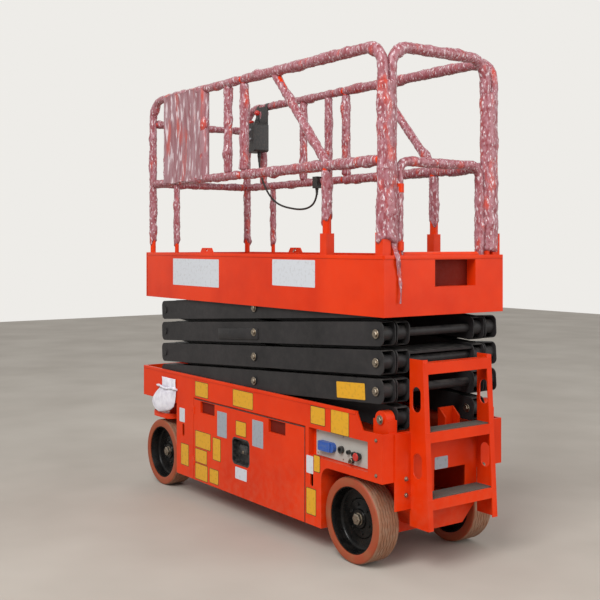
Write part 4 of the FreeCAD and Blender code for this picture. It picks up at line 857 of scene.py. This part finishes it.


# Sheet details: folded top edges, the door's rubber edge, dark plates of painted shade in the pockets, doublers and
# welds

sheetSetup = {
    "face": 0.378,
    "fold": 0.0026,
    "chassisFold": (-0.900, 1.205, 0.694, 0.711),
    "platformFold": (-1.090, 1.155, 1.401, 1.419),
    "rearFace": -1.095,
    "door": (-0.509, 0.581, 0.117, 0.581),
    "seal": 0.0045,
    "pockets": [(-0.343, -0.192, 0.507, 0.573), (0.349, 0.505, 0.507, 0.573)],
    "pocketBack": 0.3638,
    "footPocket": (-1.0392, -0.191, 0.070, 1.274, 1.398),
    "doubler": (0.130, 0.400, 0.058),
    "bead": 0.0032,
}


def bar(low, high, across, up, depth, corner=0.0012):
    # A flat bar over the rectangle from low to high on a sheet, with its outer edges rounded.
    low, high, across, up = (np.asarray(v, dtype=float) for v in (low, high, across, up))
    width, height = abs((high - low) @ across), abs((high - low) @ up)
    sections = [(-0.0008, width, height), (depth * 0.6, width, height), (depth * 0.92, width - 0.0008, height - 0.0008),
                (depth, width - 0.0022, height - 0.0022)]
    return tube(moulded((low + high) / 2, across, up, sections, corner))


def weld(start, end, seed):
    # A weld bead: a round bar whose radius ripples every 5 mm and whose line wanders by half a millimetre.
    start, end, random = np.asarray(start, dtype=float), np.asarray(end, dtype=float), np.random.default_rng(seed)
    length = np.linalg.norm(end - start)
    s = np.linspace(0, 1, int(length / 0.0012) + 2)[:, None]
    first, second, _ = planeOf(end - start)
    turn = 2 * np.pi * np.arange(10)[None, :] / 10
    ripple = 1 + 0.16 * np.abs(np.sin(np.pi * s * length / 0.005)) + 0.07 * np.sin(40 * s + random.uniform(0, 6))
    radius = sheetSetup["bead"] * ripple * np.clip(np.minimum(s, 1 - s) * length / 0.002, 0.4, 1)
    centre = start + s * (end - start) + 0.0005 * np.sin(s * length / 0.011 + random.uniform(0, 6)) * second
    return tube(centre[:, None] + first * (np.cos(turn) * radius)[..., None]
                + second * (np.sin(turn) * radius)[..., None])


def makeSheetDetails(setup):
    face, depth, up = setup["face"], setup["fold"], (0, 0, 1)
    for name, body, (x0, x1, z0, z1) in (("chassis", "chassis", setup["chassisFold"]),
                                         ("platform", "platform", setup["platformFold"])):
        folds = [bar((x0, side * face, z0), (x1, side * face, z1), (-side, 0, 0), up, depth) for side in (1, -1)]
        if name == "platform":
            rear = setup["rearFace"]
            folds.append(bar((rear, -0.376, z0), (rear, 0.376, z1), (0, -1, 0), up, depth))
        addPiece("fold_" + name, folds, body, "orange_paint")
    x0, x1, z0, z1 = setup["door"]
    wide = setup["seal"]
    for name, side in (("left", 1), ("right", -1)):
        y, across = side * face, (-side, 0, 0)
        strips = [bar((x0, y, z1 - wide), (x1 - 0.014, y, z1), across, up, 0.001),
                  bar((x0, y, z0), (x0 + wide * 0.7, y, z1 - wide), across, up, 0.001)]
        addPiece("door_seal_" + name, strips, "door_" + name, "black_plastic")
        # Dark red plates just in front of each pocket's back: painted shade, standing for the hollow behind the pocket
        shadePlates = [bar((px0 + 0.0005, side * setup["pocketBack"], pz0 + 0.0005),
                     (px1 - 0.0005, side * setup["pocketBack"], pz1 - 0.0005), across, up, 0.001)
                 for px0, px1, pz0, pz1 in setup["pockets"]]
        addPiece("pocket_shade_plates_" + name, shadePlates, "door_" + name, "orange_paint", "pocket_shade")
    # The rear pocket in the toe board gets the same plate of painted shade
    x, y0, y1, z0, z1 = setup["footPocket"]
    addPiece("pocket_shade_plate_rear", [bar((x, y0 + 0.001, z0 + 0.001), (x, y1 - 0.001, z1 - 0.001), (0, -1, 0), up,
                                      0.0012)], "platform", "orange_paint", "pocket_shade")
    middle, length, height = setup["doubler"]
    slope = np.array((1, 0, -0.0646))
    along = unit(slope)
    doublers = []
    for side in (1, -1):
        centre = np.array((middle, side * 0.360, 1.005 - 0.0646 * (middle + 0.035) - 0.010))
        doublers.append(tube(moulded(centre, -side * along, np.cross(along, (0, 1, 0)),
                                     [(-0.001, length, height), (0.0046, length, height),
                                      (0.0058, length - 0.003, height - 0.003)], 0.006)))
    addPiece("doublers", doublers, "level_b3", "grey_paint")
    beads = []
    for side in (1, -1):
        y = side * 0.341
        beads += [weld((-1.077, y, 0.6025), (-0.973, y, 0.6025), 5 + side)]
    addPiece("lug_welds", beads, "chassis", "orange_paint")


makeSheetDetails(sheetSetup)


# Broad flanges on the knuckles, over the front wheels, with a lip along their outer edge

flangeSetup = {
    "sideY": (0.205, 0.374),
    "halfLength": 0.118,
    "corner": 0.055,
    "height": (0.413, 0.4316),
    "lipTop": 0.4445,
    "lip": 0.005,
    "lipFrom": 0.302,
}


def makeFlanges(setup):
    low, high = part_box("tread_fl")
    axleX = (low[0] + high[0]) / 2
    near, far = setup["sideY"]
    bottom, top = setup["height"]
    half, corner, lip = setup["halfLength"], setup["corner"], setup["lip"]
    edge, radius = half - lip / 2, corner - lip / 2
    bend = np.linspace(0, np.pi / 2, 12)
    x = np.r_[edge, edge - radius + radius * np.cos(bend), -edge + radius - radius * np.sin(bend), -edge]
    y = far - lip / 2 - radius + radius * np.r_[0, np.sin(bend), np.cos(bend), 0]
    y[0] = y[-1] = setup["lipFrom"]
    turn = 2 * np.pi * (np.arange(8) + 0.5)[None, :, None] / 8
    for name, side in (("left", 1), ("right", -1)):
        plate = tube(moulded((axleX, side * (near + far) / 2, bottom), (1, 0, 0), (0, 1, 0),
                             [(0, 2 * half, far - near), (top - bottom - 0.002, 2 * half, far - near),
                              (top - bottom, 2 * half - 0.003, far - near - 0.003)], corner))
        # The lip: a flat bar, superellipse |cos|^0.3 by |sin|^0.3, along the flange's outer edge.
        centre = np.stack([axleX + x, side * y, 0 * x + (top + setup["lipTop"]) / 2 - 0.001], -1)
        ahead = unit(np.gradient(centre, axis=0))
        across = np.cross((0, 0, 1), ahead)
        shape = np.sign(np.cos(turn)) * np.abs(np.cos(turn)) ** 0.3, np.sign(np.sin(turn)) * np.abs(np.sin(turn)) ** 0.3
        lipBar = tube(centre[:, None] + across[:, None] * shape[0] * lip / 2
                      + np.array((0, 0, 1.0)) * shape[1] * ((setup["lipTop"] - top) / 2 + 0.001))
        addPiece("knuckle_flange_" + name, [plate, lipBar], "knuckle_" + name, "orange_paint")


makeFlanges(flangeSetup)
print("sheet details made")


# A white rag tied over the front end of the left sill

ragSetup = {
    # Height, rear edge and front edge of its outline, from the top band to the rounded tip.
    "outline": [(0.667, 0.786, 0.955), (0.642, 0.788, 0.950), (0.617, 0.790, 0.958), (0.597, 0.786, 0.988),
                (0.566, 0.784, 1.032), (0.530, 0.790, 1.070), (0.500, 0.808, 1.086), (0.478, 0.850, 1.074),
                (0.462, 0.910, 1.048), (0.452, 0.966, 1.004)],
    "neckZ": 0.607,
    "faceY": 0.3805,
}


def makeRag(setup):
    # A cloth from its outline: x runs between the edges, z down it; it stands off the skin by a bulge
    # sin(pi u) below the neck, with folds that fan out from the neck and fade at the edges.
    outline = np.array(setup["outline"])[::-1]
    rows, columns = 70, 56
    v = np.linspace(0, 1, rows)
    z = np.interp(v, np.linspace(0, 1, len(outline)), outline[:, 0])
    rear = np.interp(z, outline[:, 0], outline[:, 1])[:, None]
    front = np.interp(z, outline[:, 0], outline[:, 2])[:, None]
    u = np.linspace(0, 1, columns)[None, :]
    x = rear + (front - rear) * u
    below = np.clip((setup["neckZ"] - z) / 0.17, 0, 1)[:, None]
    neck = np.exp(-((z - setup["neckZ"]) / 0.016) ** 2)[:, None]
    bulge = 0.017 * np.sin(np.pi * u) ** 0.7 * np.sin(np.pi * np.clip(below * 0.93, 0, 1)) ** 0.8
    fan = np.sin(26 * (u - 0.4) + 3 * below) * (1 - below) + 0.7 * np.sin(41 * u + 2 + 4 * below)
    folds = 0.0042 * fan * np.sin(np.pi * u) ** 0.5 * (0.25 + np.exp(-below * 3))
    crumple = 0.0016 * np.sin(70 * x + 45 * z[:, None]) * np.sin(60 * z[:, None] - 35 * x)
    y = setup["faceY"] + 0.004 + bulge + np.abs(folds) - 0.003 * neck + crumple * np.sin(np.pi * u)
    grid = np.stack([x + 0.002 * np.sin(50 * z)[:, None], np.maximum(y, setup["faceY"]), z[:, None] + 0 * x], -1)
    rag = addPiece("white_rag", [(grid[:, ::-1], "sheet", 0, 0)], "chassis", "white_cloth", sharpDegrees=80)
    wall = rag.modifiers.new("cloth", "SOLIDIFY")
    wall.thickness, wall.offset = 0.0012, -1
    # The tie: a twisted cord of the same cloth round the neck, with a short tail at each side.
    s = np.linspace(0, 1, 60)
    path = np.stack([0.764 + 0.250 * s, setup["faceY"] + 0.006 + 0.010 * np.sin(np.pi * s),
                     setup["neckZ"] + 0.004 * np.sin(9 * s)], -1)
    ahead = unit(np.gradient(path, axis=0))
    up = np.array((0.0, 0.0, 1.0))
    across = np.cross(ahead, up)
    turn = 2 * np.pi * np.arange(14) / 14
    radius = (0.0055 + 0.0012 * np.cos(2 * turn[None] + 40 * s[:, None])
              + 0.003 * np.exp(-((s[:, None] - 0.13) / 0.05) ** 2) + 0.003 * np.exp(-((s[:, None] - 0.87) / 0.05) ** 2))
    point = path[:, None] + up * (np.cos(turn) * radius)[..., None] + across[:, None] * (np.sin(turn) * radius)[..., None]
    tie = addPiece("rag_tie", [tube(point)], "chassis", "white_cloth", sharpDegrees=80)


makeRag(ragSetup)


# The control cable, from the box's gland to the terminal under the middle rail

cableSetup = {
    "diameter": 0.012,
    "length": 0.8687,
    "route": [(0.900, -0.285, 2.035), (0.900, -0.285, 1.985), (0.893, -0.294, 1.915), (0.872, -0.307, 1.845),
              (0.835, -0.316, 1.787), (0.770, -0.318, 1.738), (0.690, -0.319, 1.708), (0.600, -0.318, 1.692),
              (0.510, -0.319, 1.681), (0.430, -0.320, 1.684), (0.370, -0.319, 1.703), (0.340, -0.318, 1.731),
              (0.324, -0.318, 1.767), (0.324, -0.318, 1.803)],
}


def makeCable(setup):
    curve = bpy.data.curves.new("control_cord", "CURVE")
    curve.dimensions, curve.resolution_u = "3D", 12
    curve.bevel_depth, curve.bevel_resolution, curve.use_fill_caps = setup["diameter"] / 2, 4, True
    spline = curve.splines.new("NURBS")
    spline.points.add(len(setup["route"]) - 1)
    spline.points.foreach_set("co", np.array([(*place, 1.0) for place in setup["route"]]).ravel())
    spline.order_u = 3
    spline.use_endpoint_u = True
    cable = bpy.data.objects.new("control_cord", curve)
    bpy.context.scene.collection.objects.link(cable)
    curve.materials.append(finishes["cable_rubber"])
    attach(cable, "roll_out")
    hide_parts("control_cable")
    relief = [(0.0, 0.0105), (0.006, 0.0105)] + [(0.008 + 0.0045 * k + 0.002 * (k % 2), 0.0096 - 0.00035 * k
                                                 - 0.0009 * (k % 2)) for k in range(7)] + [(0.040, 0.0064)]
    sleeves = [tube(turned(setup["route"][0], (0, 0, -1), relief, 24)),
               tube(turned(setup["route"][-1], (0, 0, -1), relief, 24))]
    ends = addPiece("cord_sleeves", sleeves, "roll_out", "cable_rubber")


makeCable(cableSetup)
print("rag and cable made")


# Fittings: ground panel, control box, batteries, oil tank, latches, shackle

fittingSetup = {
    "panelY": 0.360,
    "stopPlace": (-0.892, 0.499),
    "keyPlace": (-0.842, 0.471),
    "boxTopZ": 2.240,
    "boxFaceY": -0.215,
    "stick": (0.900, -0.270, 2.310),
    "stopTop": (0.972, -0.270),
    "batteryTop": 0.413,
    "shackle": (0.615, -0.368, 1.433),
}


def mushroom(seat, axis, radius, height):
    # A stop button: a stem, and a cap with a rounded rim and a slightly hollow top.
    return tube(turned(seat, axis, [(0.0, radius * 0.55), (height * 0.45, radius * 0.55), (height * 0.5, radius * 0.9),
                                    (height * 0.6, radius), (height * 0.85, radius), (height * 0.95, radius * 0.93),
                                    (height, radius * 0.8), (height * 0.96, radius * 0.4)], 36))


def collar(seat, axis, radius, height):
    return tube(turned(seat, axis, [(-0.001, radius), (height * 0.7, radius), (height, radius * 0.9)], 36))


def ringRod(centre, axis, major, minor, around=40):
    # A round bar bent to a ring: centre + (major + minor cos b) x spoke(a) + minor sin b x axis.
    first, second, axis = planeOf(axis)
    a = 2 * np.pi * np.arange(around)[:, None] / around
    b = 2 * np.pi * np.arange(12)[None, :] / 12
    spoke = np.cos(a)[..., None] * first + np.sin(a)[..., None] * second
    return np.asarray(centre) + spoke * (major + minor * np.cos(b))[..., None] - axis * (minor * np.sin(b))[..., None], \
        "ring", 0, 0


def makeFittings(setup):
    out, up, left = (0, 1, 0), (0, 0, 1), (-1, 0, 0)
    stopX, stopZ = setup["stopPlace"]
    keyX, keyZ = setup["keyPlace"]
    y = setup["panelY"]
    addPiece("ground_stop", [mushroom((stopX, y, stopZ), out, 0.019, 0.0165)], "chassis", "black_plastic",
             "red_plastic")
    ring = [(0.0, 0.0125), (0.003, 0.0125), (0.004, 0.0115), (0.004, 0.007), (0.0025, 0.0065)]
    key = [tube(turned((keyX, y, keyZ), out, ring, 28)),
           tube(moulded((keyX, y + 0.003, keyZ - 0.002), left, up,
                        [(0, 0.0026, 0.013), (0.012, 0.0026, 0.013), (0.013, 0.002, 0.012)], 0.001))]
    low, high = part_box("ground_panel")
    for x in (low[0] + 0.014, (low[0] + high[0]) / 2, high[0] - 0.014):
        for z in (low[2] + 0.012, high[2] - 0.012):
            if abs(x - stopX) > 0.02 or abs(z - stopZ) > 0.02:
                key.append(tube(turned((x, high[1], z), out, [(-0.001, 0.0042), (0.001, 0.004), (0.0018, 0.0028)], 16)))
    addPiece("panel_screws", key, "chassis", "pin_steel")

    top, face = setup["boxTopZ"], setup["boxFaceY"]
    stickX, stickY, stickZ = setup["stick"]
    boot = [(0.0, 0.026)] + [(0.003 + 0.0038 * k, 0.0245 - 0.0016 * k - 0.0022 * (k % 2)) for k in range(9)] + \
        [(0.040, 0.0085)]
    knob = [(-0.016, 0.0095), (-0.013, 0.0125), (-0.007, 0.0168), (0.0, 0.0182), (0.007, 0.0172), (0.013, 0.013),
            (0.0168, 0.006)]
    addPiece("stick_boot", [tube(turned((stickX, stickY, top), up, boot, 32))], "roll_out", "black_plastic")
    addPiece("stick_knob", [tube(turned((stickX, stickY, stickZ), up, knob, 28))], "roll_out", "black_plastic",
             "red_plastic")
    x, yStop = setup["stopTop"]
    addPiece("box_stop", [mushroom((x, yStop, top + 0.002), up, 0.019, 0.026)], "roll_out", "black_plastic",
             "red_plastic")
    addPiece("box_stop_collar", [collar((x, yStop, top), up, 0.024, 0.004)], "roll_out", "black_plastic",
             "yellow_plastic")
    face3 = (0.930, face, 2.170)
    addPiece("box_face", [tube(moulded(face3, left, up, [(-0.001, 0.125, 0.120), (0.0008, 0.125, 0.120),
                                                         (0.0012, 0.121, 0.116)], 0.008))],
             "roll_out", "black_plastic")
    buttons = [collar((face3[0] + dx, face, face3[2] + dz), out, 0.0085, 0.0075)
               for dx in (-0.038, 0.0, 0.038) for dz in (-0.030, 0.028)]
    addPiece("box_buttons", buttons, "roll_out", "black_plastic", "grey_plastic")

    caps, terminals = [], []
    z = setup["batteryTop"]
    for k in range(4):
        x0 = -0.425 + 0.225 * k
        for j in range(3):
            caps.append(collar((x0 + 0.108, 0.222 + 0.038 * j, z), up, 0.012, 0.008))
        for dx in (0.022, 0.194):
            terminals.append(tube(turned((x0 + dx, 0.215, z), up, [(-0.001, 0.0105), (0.014, 0.0092), (0.016, 0.008)],
                                         24)))
    addPiece("battery_caps", caps, "door_left", "black_plastic")
    addPiece("battery_terminals", terminals, "door_left", "pin_steel")
    s = np.linspace(0, 1, 24)[:, None]
    turn = 2 * np.pi * np.arange(12)[None, :] / 12
    links = []
    for k in range(3):
        x0, x1 = -0.425 + 0.225 * k + 0.194, -0.425 + 0.225 * (k + 1) + 0.022
        point = np.stack([x0 + (x1 - x0) * s + 0 * turn, 0.215 + 0.006 * np.cos(turn) + 0 * s,
                          z + 0.012 + 0.010 * np.sin(np.pi * s) - 0.006 * np.sin(turn)], -1)
        links.append(tube(point[:, ::-1]))
    addPiece("battery_links", links, "door_left", "black_plastic")

    tank = [tube(turned((-0.335, -0.260, 0.363), up, [(-0.002, 0.030), (0.010, 0.030), (0.013, 0.027), (0.024, 0.022),
                                                      (0.027, 0.018)], 28))]
    addPiece("tank_cap", tank, "door_right", "black_plastic")

    for name, side in (("left", 1), ("right", -1)):
        low, high = (np.array(c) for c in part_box("latch_" + name))
        centre = np.array(((low[0] + high[0]) / 2, side * 0.352, (low[2] + high[2]) / 2 + 0.01))
        paddle = moulded(centre, (-side, 0, 0), up, [(-0.004, 0.072, 0.046), (0.0, 0.078, 0.052), (0.006, 0.078, 0.052),
                                                     (0.010, 0.070, 0.044)], 0.012)
        addPiece("latch_paddle_" + name, [tube(paddle)], "door_" + name, "black_plastic")
        lock = centre + (0, side * 0.010, -0.012)
        addPiece("latch_lock_" + name,
                 [tube(turned(lock, (0, side, 0), [(-0.002, 0.0085), (0.002, 0.0085), (0.003, 0.0075)], 24))],
                 "door_" + name, "pin_steel")

    x, y, z = setup["shackle"]
    addPiece("shackle", [ringRod((x, y, z - 0.016), (1, 0.25, 0.0), 0.020, 0.0035)], "platform", "pin_steel")


makeFittings(fittingSetup)
print("fittings made")
